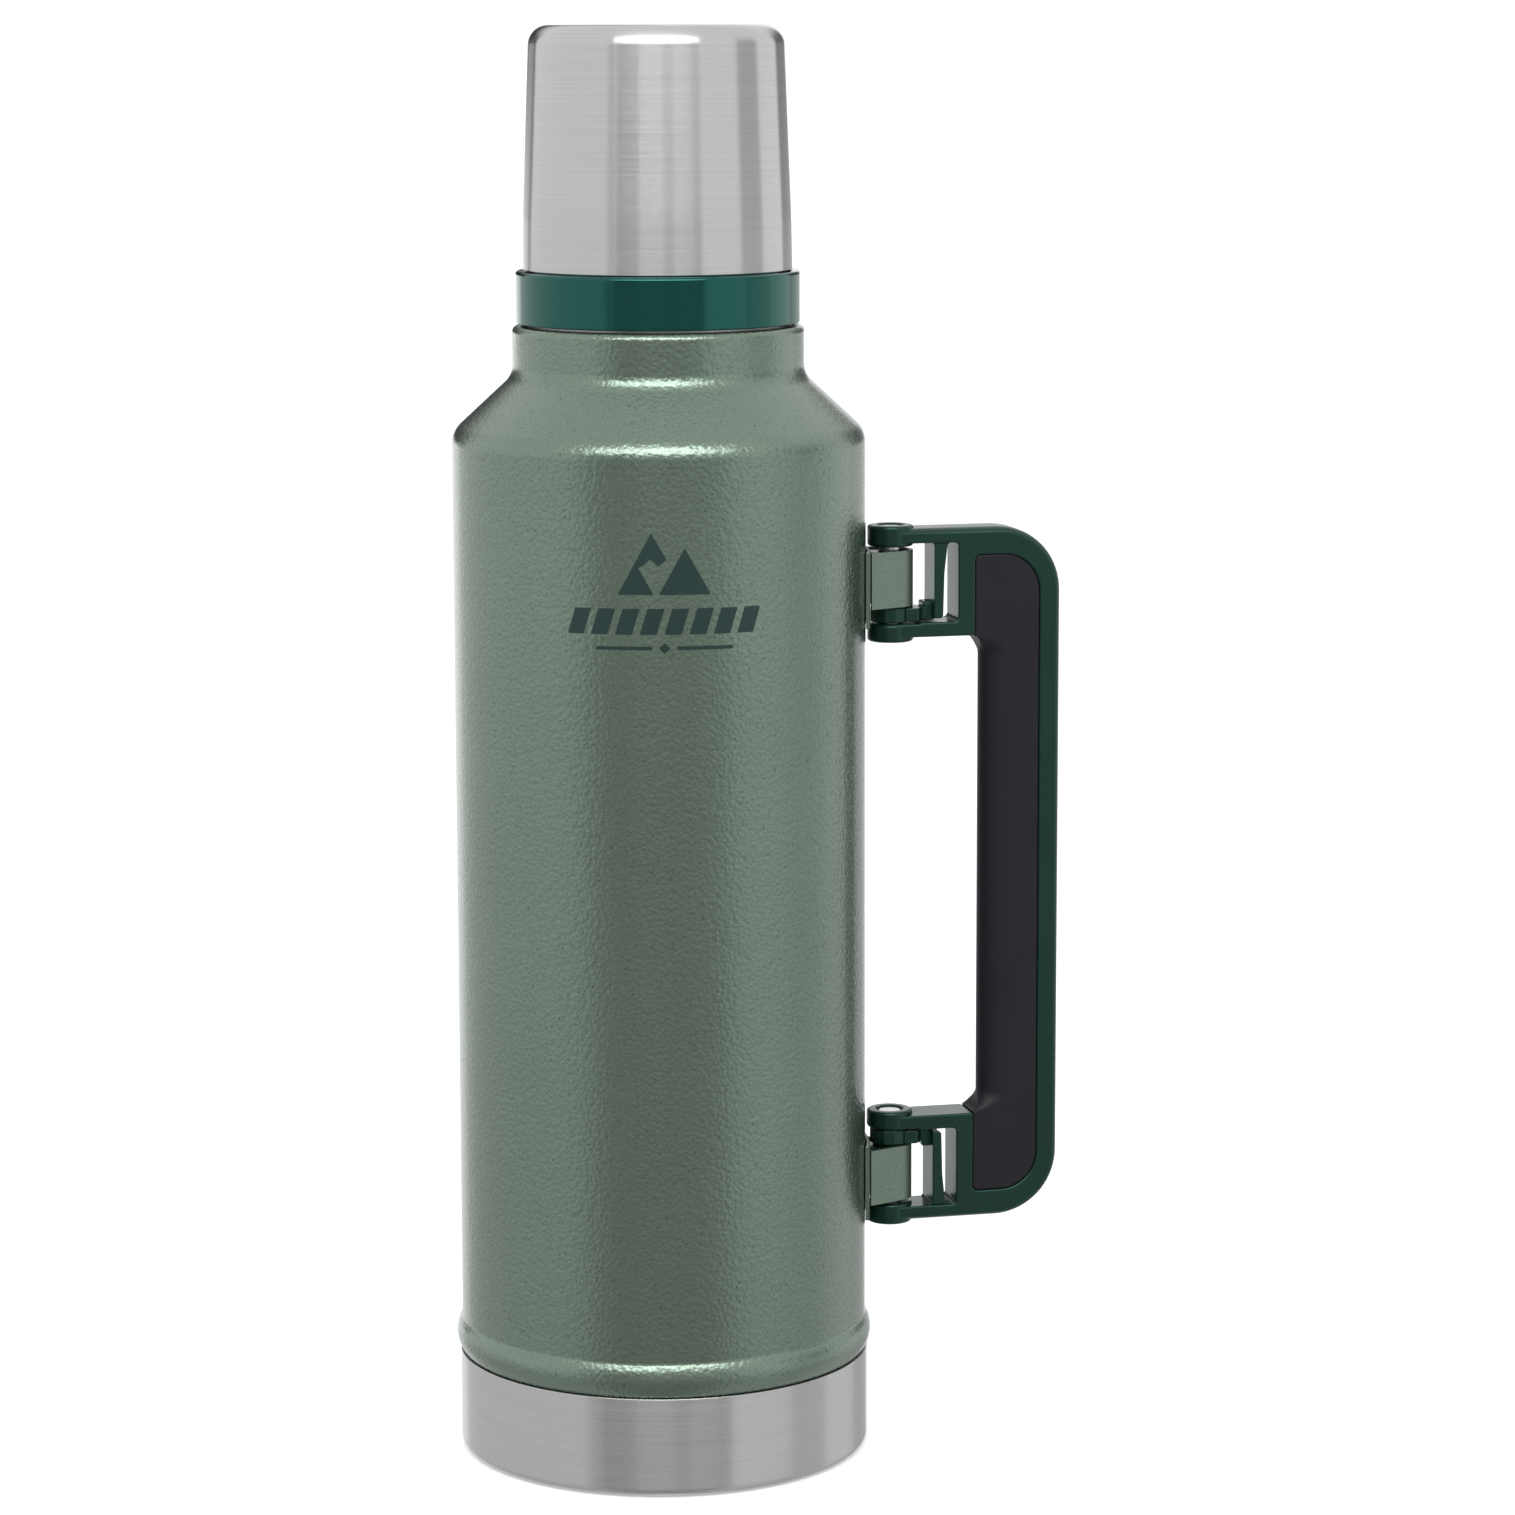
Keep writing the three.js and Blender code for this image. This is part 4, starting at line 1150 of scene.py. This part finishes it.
# ---------------------------------------------------------------- the stopper
@dataclass(frozen=True)
class Stopper:
    """The screw-in stopper, with its fluted knob, its foam core and its two seals."""

    gap: float = 0.3
    stem_radius: float = 25.2
    stem_bore: float = 22.5
    stem_bottom: float = 266.0
    boss_radius: float = 20.5
    flange_bottom: float = 301.8
    knob_radius: float = 26.5
    knob_wall: float = 2.2
    flutes: int = 12
    flute_radius: float = 2.2
    flute_ring: float = 27.6
    flare: Point = (1.6, 1.4)
    floor: float = 2.0
    knob_corner: float = 1.6
    dish_rim: float = 6.0
    dish_slope: Point = (1.2, 0.6)
    thread_z: float = 285.4
    thread_height: float = 0.7
    gasket_width: float = 5.0
    rim_seal_width: float = 3.3
    seal_round: float = 0.35

    def body(self) -> Solid:
        """Turns the threaded plug, with a flange round its top.

        Returns:
            The solid.
        """
        span = Span.of("stopper_body")
        floor = self.stem_bottom + self.floor
        plug = Solid.turned([
            (0, span.bottom), (self.boss_radius, span.bottom, 0.8),
            (self.boss_radius, self.stem_bottom, 0.2),
            (self.stem_radius, self.stem_bottom, 0.8), (self.stem_radius, self.flange_bottom, 0.2),
            (span.radius, self.flange_bottom, 0.4), (span.radius, span.top, 0.6),
            (self.stem_bore, span.top, 0.3), (self.stem_bore, floor, 0.8), (0, floor),
        ])
        crest = self.stem_radius + self.thread_height
        return plug.joined(Solid.thread(self.stem_radius - self.gap, crest, self.thread_z))

    def cap(self) -> Solid:
        """Turns the knob and cuts its finger flutes.

        Returns:
            The solid.
        """
        span = Span.of("stopper_cap")
        inside = self.knob_radius - 2 * self.knob_wall
        dish = self.knob_radius - self.dish_rim
        across, down = self.dish_slope
        wider, drop = self.flare
        knob = Solid.turned([
            (0, span.top - self.knob_wall), (inside, span.top - self.knob_wall, 0.6),
            (inside, span.bottom, 0.2), (self.knob_radius, span.bottom, 0.3),
            (self.knob_radius, span.top, self.knob_corner), (dish, span.top, 0.8),
            (dish - across, span.top - down, 0.8), (0, span.top - down),
        ])
        cutter = [
            (0, span.bottom - 1), (self.flute_radius, span.bottom - 1),
            (self.flute_radius, span.top - drop), (self.flute_radius + wider, span.top + 1),
            (0, span.top + 1),
        ]
        tools = []
        for i in range(self.flutes):
            turn = Matrix.Rotation(2 * math.pi * i / self.flutes, 4, "Z")
            tools.append(Solid.turned(cutter, 32, self.flute_ring).moved(turn))
        return knob.cut(*tools)

    def ring(self, node: str, width: float) -> Solid:
        """Turns one of the stopper's seals, with a rounded section.

        Args:
            node: The node that the seal stands for.
            width: How far it reaches inwards.

        Returns:
            The solid.
        """
        span = Span.of(node)
        inside = span.radius - width
        edge = (span.top - span.bottom) * self.seal_round
        return Solid.turned([
            (inside, span.bottom, edge), (span.radius, span.bottom, edge),
            (span.radius, span.top, edge), (inside, span.top, edge),
        ], 128, step=15)

    def core(self) -> Solid:
        """Turns the foam core.

        Returns:
            The solid.
        """
        span = Span.of("stopper_insulation")
        return Solid.turned([
            (0, span.bottom), (span.radius, span.bottom, 1.0),
            (span.radius, span.top, 1.0), (0, span.top),
        ], 96, step=20)

    def build(self) -> None:
        """Makes and dresses the stopper's pieces."""
        install(self.body(), "stopper_body", Finishes.BLACK_PLASTIC)
        install(self.cap(), "stopper_cap", Finishes.BLACK_PLASTIC)
        install(self.core(), "stopper_insulation", Finishes.FOAM)
        seals = {"stopper_gasket": self.gasket_width, "stopper_rim_seal": self.rim_seal_width}
        for node, width in seals.items():
            install(self.ring(node, width), node, Finishes.SILICONE)


# ---------------------------------------------------------------- the handle
@dataclass(frozen=True)
class Handle:
    """The moulded handle frame and the grip that fills it. Heights count from its middle."""

    half_thickness: float = 5.8
    outer_corner: float = 16.9
    crown: float = 1.6
    crown_depth: float = 2.6
    rim: float = 0.55
    arm_half_height: float = 91.3
    knuckle_radius: float = 6.0
    knuckle_bore: float = 3.4
    outer_knuckle: Point = (86.6, 92.1)
    inner_knuckle: Point = (61.9, 66.7)
    window: Point = (67.0, 87.5)
    window_end: float = 77.6
    window_fillet: float = 1.2
    relief: float = 6.5
    fork_inside: float = 63.2
    panel_inner: float = 82.1
    panel_outer: float = 99.5
    panel_half_height: float = 84.2
    panel_corner: float = 9.8
    panel_small_corner: float = 1.5
    grip_half_thickness: float = 5.5
    grip_inner: float = 84.5
    grip_flat: float = 92.0
    grip_fillet: float = 5.0
    grip_sweep: float = 1.2
    grip_steps: int = 10
    grip_seat: float = 0.02
    grip_slack: float = 0.3
    fork_corner: float = 0.6
    knuckle_round: float = 0.9
    bore_chamfer: float = 0.35
    bore_clear: float = 1.0

    @property
    def pivot(self) -> float:
        """How far the hinge pins stand from the flask's axis."""
        return Span.of("upper_hinge_pin").middle.x

    @property
    def middle(self) -> float:
        """The height of the handle's middle."""
        return Span.of("handle_frame").middle.z

    def frame_outline(self) -> list[Corner]:
        """Draws the frame from the side, once round its outside, forks and panel.

        Returns:
            The outline, each point with its crown and crown depth.
        """
        top, outer = self.arm_half_height, Span.of("handle_frame").high.x
        x = self.pivot
        low, high = self.window
        end, fillet = self.window_end, self.window_fillet
        inner, soft = self.fork_inside, self.fork_corner
        panel_x, panel_end, panel_h = self.panel_inner, self.panel_outer, self.panel_half_height
        small, large = self.panel_small_corner, self.panel_corner
        step_x = x + self.relief
        step = self.inner_knuckle[1]
        corners = [
            (x, top), (outer, top, self.outer_corner), (outer, -top, self.outer_corner), (x, -top),
            (x, -high), (end, -high, fillet), (end, -low, fillet), (step_x, -low), (step_x, -step),
            (x, -step), (x, -inner), (panel_x, -inner, soft), (panel_x, -panel_h, small),
            (panel_end, -panel_h, large), (panel_end, panel_h, large),
            (panel_x, panel_h, small), (panel_x, inner, soft), (x, inner), (x, step),
            (step_x, step), (step_x, low), (end, low, fillet), (end, high, fillet), (x, high),
        ]
        points = rounded(corners, 5)
        outside = [p for p in points if self._is_outside(p)]
        start = points.index(outside[0])
        ordered = points[start:] + points[:start]
        framed = []
        for px, ph in ordered:
            crowned = self._is_outside((px, ph))
            crown, depth = (self.crown, self.crown_depth) if crowned else (self.rim, self.rim)
            framed.append((px, self.middle + ph, crown, depth))
        return framed

    def _is_outside(self, point: Point, slack: float = 0.01) -> bool:
        """Says whether a point of the frame's outline is on its outer edge.

        Args:
            point: The point.
            slack: How far off the edge it may be.

        Returns:
            True on the outer edge.
        """
        x, height = point[0], abs(point[1])
        past_panel = height > self.panel_half_height + slack and x > self.window_end + slack
        return x > self.panel_outer + slack or height > self.arm_half_height - slack or past_panel

    def frame_solid(self) -> Solid:
        """Makes the frame: its arms and outer rail, then its knuckles, then the pins' bores.

        Returns:
            The solid.
        """
        body = Solid.slab(self.frame_outline(), -self.half_thickness, self.half_thickness, Plane.SIDE,
                          steps=6)
        knuckles, bores = [], []
        radius, soft, clear = self.knuckle_radius, self.knuckle_round, self.bore_clear
        mouth = self.knuckle_bore + self.bore_chamfer
        for side in (1, -1):
            for low, high in (self.outer_knuckle, self.inner_knuckle):
                bottom, top = sorted((self.middle + side * low, self.middle + side * high))
                knuckles.append(Solid.turned([
                    (0, bottom), (radius, bottom, soft), (radius, top, soft), (0, top),
                ], 96, self.pivot, 12))
                bores.append(Solid.turned([
                    (0, bottom - clear), (mouth + clear, bottom - clear), (mouth + 0.05, bottom - 0.05),
                    (self.knuckle_bore, bottom + 0.3), (self.knuckle_bore, top - 0.3),
                    (mouth + 0.05, top + 0.05), (mouth + clear, top + clear), (0, top + clear),
                ], 64, self.pivot))
        return body.joined(*knuckles).cut(*bores)

    def grip_outline(self) -> list[Corner]:
        """Draws the grip from the side, full behind the panels and slimmer along the bar.

        Returns:
            The outline, each point with its crown and crown depth.
        """
        seat, steps = self.grip_seat, self.grip_steps
        left, right = self.panel_inner + seat, self.panel_outer - seat
        top, start = self.panel_half_height - seat, self.fork_inside - self.grip_slack
        corner, small = self.panel_corner - seat, self.panel_small_corner
        curve = []
        for angle in (math.pi / 2 * k / steps for k in range(steps + 1)):
            x = left + (self.grip_inner - left) * math.sin(angle) ** self.grip_sweep
            curve.append((x, start - self.grip_fillet * (1 - math.cos(angle))))
        points = rounded([
            (right, -top, corner), (right, top, corner), (left, top, small), *curve,
            *((x, -height) for x, height in reversed(curve)), (left, -top, small),
        ], 5)
        outline = []
        for x, height in points:
            share = (start - abs(height)) / self.grip_fillet if x < self.grip_flat else 0.0
            share = min(1.0, max(0.0, share))
            soft = share * share * (3 - 2 * share)
            inset = self.rim + (self.grip_flat - self.grip_inner - self.rim) * soft
            depth = self.rim + (self.grip_half_thickness - self.rim) * soft
            outline.append((x, self.middle + height, inset, depth))
        return outline

    def grip_solid(self) -> Solid:
        """Makes the grip."""
        return Solid.slab(self.grip_outline(), -self.grip_half_thickness, self.grip_half_thickness,
                          Plane.SIDE, steps=10)

    def build(self) -> None:
        """Makes and dresses the handle's pieces."""
        install(self.frame_solid(), "handle_frame", Finishes.SATIN_GREEN)
        install(self.grip_solid(), "grip", Finishes.CHARCOAL)


@dataclass(frozen=True)
class Hinge:
    """One of the handle's two hinges, with its bracket and its lock."""

    place: str
    side: int
    handle: Handle
    gap: float = 0.3
    loop_radius: float = 5.85
    strap_thickness: float = 1.2
    leg_angle: float = 22.0
    foot_x: float = 53.5
    cam_radius: float = 5.3
    cam_height: float = 3.8
    facets: int = 12
    key_half_width: float = 4.2
    key_x: float = 55.2
    key_inset: float = 0.5
    plate_thickness: float = 0.9
    plate_half_angle: float = 20.0
    body_radius: float = 52.5
    strip_x: Point = (71.3, 74.0)
    strip_half_width: float = 5.1
    shoe_span: Point = (67.25, 70.7)
    link_top: float = 72.1
    shoe_reach: float = 60.0
    shoe_back: float = 68.6
    neck_half_width: float = 2.8
    link_x: float = 69.0
    link_half_width: float = 2.8
    facet_round: float = 0.25
    bush_inset: float = 1.0
    saddle_gap: float = 0.05
    shoe_chamfer: float = 1.5
    overlap: float = 0.5
    strip_foot: float = 0.6
    strip_bend: float = 8.0
    strip_flare: Point = (0.8, 1.4)

    def node(self, name: str) -> str:
        """Gives the full name of one of this hinge's nodes."""
        return f"{self.place}_{name}"

    def heights(self, span: Point) -> Point:
        """Turns heights above the handle's middle into heights on this hinge's side."""
        low, high = sorted(self.handle.middle + self.side * height for height in span)
        return low, high

    def strap(self) -> Solid:
        """Bends the strap: two legs that run in to a loop round the pin.

        Returns:
            The solid.
        """
        span = Span.of(self.node("bracket_strap"))
        path = []
        for depth in (0.0, self.strap_thickness):
            swing = 90 - self.leg_angle
            loop = arc((self.handle.pivot, 0), self.loop_radius - depth, -swing, swing, 24)
            x, y = loop[-1]
            foot = y + (x - self.foot_x) * math.tan(math.radians(self.leg_angle))
            half = [(self.foot_x, -foot), *loop, (self.foot_x, foot)]
            path += half if depth == 0.0 else list(reversed(half))
        return Solid.slab(path, span.bottom, span.top, Plane.PLAN, crown=0.22, steps=3)

    def plate(self) -> Solid:
        """Bends the plate that the strap's feet stand on, to the bottle's curve.

        Returns:
            The solid.
        """
        span = Span.of(self.node("bracket_plate"))
        inner = self.body_radius + self.gap
        swing = self.plate_half_angle
        outline = [*arc((0, 0), inner + self.plate_thickness, -swing, swing, 40),
                   *arc((0, 0), inner, swing, -swing, 40)]
        return Solid.slab(outline, span.bottom, span.top, Plane.PLAN, crown=0.25, steps=3)

    def cam(self) -> Solid:
        """Makes the faceted cam, with the bush and key that hold it in the strap.

        Returns:
            The solid.
        """
        pivot = self.handle.pivot
        span = Span.of(self.node("cam"))
        strap = Span.of(self.node("bracket_strap"))
        near = span.bottom if self.side > 0 else span.top - self.cam_height
        wheel_outline = arc((pivot, 0), self.cam_radius, 0, 360 - 360 / self.facets, self.facets - 1)
        wheel = Solid.slab(rounded([(x, y, self.facet_round) for x, y in wheel_outline], 10), near,
                           near + self.cam_height, Plane.PLAN, steps=3)
        bush_radius, inset = self.loop_radius - self.strap_thickness - self.gap, self.bush_inset
        bush = Solid.turned([
            (0, span.bottom + inset), (bush_radius, span.bottom + inset),
            (bush_radius, span.top - inset), (0, span.top - inset),
        ], 64, pivot)
        low, high = strap.bottom + self.key_inset, strap.top - self.key_inset
        key = Solid.slab([(self.key_x, -self.key_half_width), (pivot, -self.key_half_width),
                          (pivot, self.key_half_width), (self.key_x, self.key_half_width)],
                         low, high, Plane.PLAN, steps=2)
        bore = Span.of(self.node("hinge_pin"))
        reach = (bore.high.y - bore.low.y) / 2 + self.gap
        hole = Solid.turned([(0, span.bottom - 1), (reach, span.bottom - 1), (reach, span.top + 1),
                             (0, span.top + 1)], 64, pivot)
        return wheel.joined(bush, key).cut(hole)

    def pin(self) -> Solid:
        """Turns the hinge pin, with chamfered ends.

        Returns:
            The solid.
        """
        span = Span.of(self.node("hinge_pin"))
        radius = (span.high.y - span.low.y) / 2
        return Solid.turned([
            (0, span.bottom), (radius, span.bottom, 0.45), (radius, span.top, 0.45), (0, span.top),
        ], 64, self.handle.pivot, 12)

    def lock_arm(self) -> Solid:
        """Makes the lock: a springy strip from the fork, and a shoe that rides on the cam.

        Returns:
            The solid.
        """
        pivot = self.handle.pivot
        grasp = self.cam_radius + self.gap + self.saddle_gap
        saddle = arc((pivot, 0), grasp, self.shoe_reach, -self.shoe_reach, 24)
        strip_in, strip_out = self.strip_x
        wide, neck, narrow = self.strip_half_width, self.neck_half_width, self.link_half_width
        back, shoulder = self.shoe_back, self.shoe_back - self.shoe_chamfer
        end = strip_in + self.overlap
        shoe_corners = [
            *saddle, (shoulder, -wide, 0.9), (back, -neck, 0.6), (end, -neck), (end, neck),
            (back, neck, 0.6), (shoulder, wide, 0.9),
        ]
        shoe = Solid.slab(rounded(shoe_corners, 12), *self.heights(self.shoe_span), Plane.PLAN, steps=3)
        link = Solid.slab(rounded([
            (self.link_x, -narrow, 0.6), (end, -narrow), (end, narrow), (self.link_x, narrow, 0.6),
        ], 12), *self.heights((self.shoe_span[0] + 1, self.link_top)), Plane.PLAN, crown=0.5, steps=3)
        root = self.handle.window[1] + self.saddle_gap
        foot, bend = self.shoe_span[0] + self.strip_foot, root - self.strip_bend
        near, far = self.strip_flare
        strip = [
            (strip_in, foot, 0.3), (strip_out - 0.3, foot, 0.9), (strip_out, bend, 6.0),
            (strip_out + near, root - near, 0.6), (strip_out + far, root), (strip_in - 0.5, root),
            (strip_in, root - 0.7, 0.5),
        ]
        outline = [(x, self.handle.middle + self.side * h) for x, h in rounded(strip, 8)]
        blade = Solid.slab(outline, -wide, wide, Plane.SIDE, steps=3)
        return blade.joined(shoe, link)

    def build(self) -> None:
        """Makes and dresses the hinge's pieces."""
        install(self.strap(), self.node("bracket_strap"), Finishes.BRACKET)
        install(self.plate(), self.node("bracket_plate"), Finishes.BRACKET)
        install(self.cam(), self.node("cam"), Finishes.SATIN_GREEN)
        install(self.pin(), self.node("hinge_pin"), Finishes.PIN_STEEL)
        install(self.lock_arm(), self.node("lock_arm"), Finishes.SATIN_GREEN)


# ---------------------------------------------------------------- the studio
@dataclass(frozen=True)
class Wall:
    """An upright stretch of the studio's surroundings, in degrees to the right of the camera.

    Its level changes to the second one below the flask's top.
    """

    left: float
    right: float
    level: float
    low_level: float
    edge: float = 3.0


@dataclass(frozen=True)
class Studio:
    """The camera, the pale floor and the soft light round the flask.

    Lengths are in metres, and the lens is in millimetres. The last three fields are slopes of a ray:
    where the walls change to their low level, where the floor's shade fades out, and where the sky
    fades in.
    """

    lens: float = 111.78
    camera_place: tuple[float, float, float] = (-0.2521, -1.1652, 0.3693)
    pitch: float = 9.025
    yaw: float = 13.4
    roll: float = -0.152
    floor_radius: float = 40.0
    backdrop: float = 1.05
    middle_level: float = 0.64
    low_middle_level: float = 0.50
    floor_shade: float = 0.66
    walls: tuple[Wall, ...] = (
        Wall(-44.0, -35.0, 0.70, 0.62, 2.0),
        Wall(-35.0, -16.0, 0.20, 0.46, 2.0),
        Wall(5.0, 14.0, 0.34, 0.46, 2.0),
        Wall(30.0, 38.0, 0.46, 0.50, 2.0),
        Wall(-147.0, -43.0, 1.04, 0.92),
        Wall(38.0, 77.0, 1.06, 1.00),
        Wall(77.0, 101.0, 0.46, 0.88, 4.0),
        Wall(101.0, 134.0, 1.02, 1.10),
        Wall(134.0, 164.0, 0.15, 0.80),
        Wall(-147.0, -138.0, 0.05, 0.92, 2.0),
        Wall(-175.0, -147.0, 0.05, 1.50, 2.0),
        Wall(165.0, 200.0, 1.2, 2.0),
        Wall(-200.0, -175.0, 0.20, 2.0, 2.0),
    )
    key_elevation: float = 40.0
    key_distance: float = 1.3
    key_size: Point = (1.75, 0.55)
    key_power: float = 12.0
    key_aim: float = 0.6
    floor_drop: float = 0.0004
    change: Point = (-0.04, -0.015)
    floor_fade: Point = (-0.34, -0.05)
    sky_fade: Point = (0.2, 0.5)

    @property
    def front(self) -> float:
        """The angle from +X to the camera, in radians."""
        return math.atan2(self.camera_place[1], self.camera_place[0])

    def camera(self) -> None:
        """Sets up the camera."""
        data = bpy.data.cameras.new("camera")
        data.lens = self.lens
        camera = bpy.data.objects.new("camera", data)
        camera.location = self.camera_place
        turn = Euler((math.radians(90 - self.pitch), 0, math.radians(-self.yaw)), "XYZ").to_matrix()
        lean = Matrix.Rotation(math.radians(self.roll), 3, "Z")
        camera.rotation_euler = (turn @ lean).to_euler()
        bpy.context.scene.collection.objects.link(camera)
        bpy.context.scene.camera = camera

    def floor(self) -> None:
        """Lays the plain pale floor, which doesn't show in reflections."""
        mesh = bmesh.new()
        bmesh.ops.create_circle(mesh, cap_ends=True, segments=96, radius=self.floor_radius)
        data = bpy.data.meshes.new("floor")
        mesh.to_mesh(data)
        floor = bpy.data.objects.new("floor", data)
        floor.location.z = -self.floor_drop
        floor.visible_glossy = False
        paint = Finish("pale_floor", None, (0.9, 0.9, 0.9), 0.9, 0.0, (("Emission Strength", 0.25),))
        data.materials.append(paint.material())
        bpy.context.scene.collection.objects.link(floor)

    def surroundings(self) -> None:
        """Lights the flask from all round, by upright stretches that are lighter and darker."""
        world = bpy.data.worlds.new("studio")
        bpy.context.scene.world = world
        world.use_nodes = True
        graph = Graph(world.node_tree)
        way = graph.node("ShaderNodeTexCoord", output="Generated")
        across, along = math.sin(self.front), math.cos(self.front)
        ahead, right, up = (
            graph.node("ShaderNodeVectorMath", {"operation": "DOT_PRODUCT"}, {0: way, 1: axis}, "Value")
            for axis in ((along, across, 0.0), (-across, along, 0.0), (0.0, 0.0, 1.0)))
        angle = right.math("ARCTAN2", right, ahead) * (180.0 / math.pi)
        high = up.rise(*self.change)
        level = self.low_middle_level + (self.middle_level - self.low_middle_level) * high
        for wall in self.walls:
            own = wall.low_level + (wall.level - wall.low_level) * high
            level = level + (own - level) * angle.within(wall.left, wall.right, wall.edge)
        level = level * (1.0 - (1.0 - self.floor_shade) * (1.0 - up.rise(*self.floor_fade)))
        level = level + (1.0 - level) * up.rise(*self.sky_fade)
        seen = graph.node("ShaderNodeLightPath", output="Is Camera Ray")
        level = level + (self.backdrop - level) * seen
        sockets = {"Color": (1.0, 1.0, 1.0, 1.0), "Strength": level}
        light = graph.node("ShaderNodeBackground", None, sockets)
        graph.node("ShaderNodeOutputWorld", None, {"Surface": light})

    def key(self) -> None:
        """Hangs the soft box above the camera."""
        data = bpy.data.lights.new("soft_box", "AREA")
        data.shape = "ELLIPSE"
        data.size, data.size_y = self.key_size
        data.energy = self.key_power
        light = bpy.data.objects.new("soft_box", data)
        rise = math.radians(self.key_elevation)
        way = Vector((math.cos(self.front) * math.cos(rise), math.sin(self.front) * math.cos(rise),
                      math.sin(rise)))
        low, high = CAD_BOX
        aim = Vector((0, 0, (low.z + high.z) * self.key_aim))
        light.location = aim + way * self.key_distance
        light.rotation_euler = way.to_track_quat("Z", "Y").to_euler()
        bpy.context.scene.collection.objects.link(light)

    def build(self) -> None:
        """Sets up the camera, the floor and the light."""
        self.camera()
        self.floor()
        self.surroundings()
        self.key()
        bpy.context.scene.view_settings.view_transform = "Standard"


def main() -> None:
    """Builds the studio and every part of the flask."""
    logging.basicConfig(level=logging.INFO, format="%(name)s: %(message)s")
    Studio().build()
    Bottle().build()
    Cup().build()
    Stopper().build()
    handle = Handle()
    handle.build()
    Hinge("upper", 1, handle).build()
    Hinge("lower", -1, handle).build()


if __name__ == "__main__":
    main()
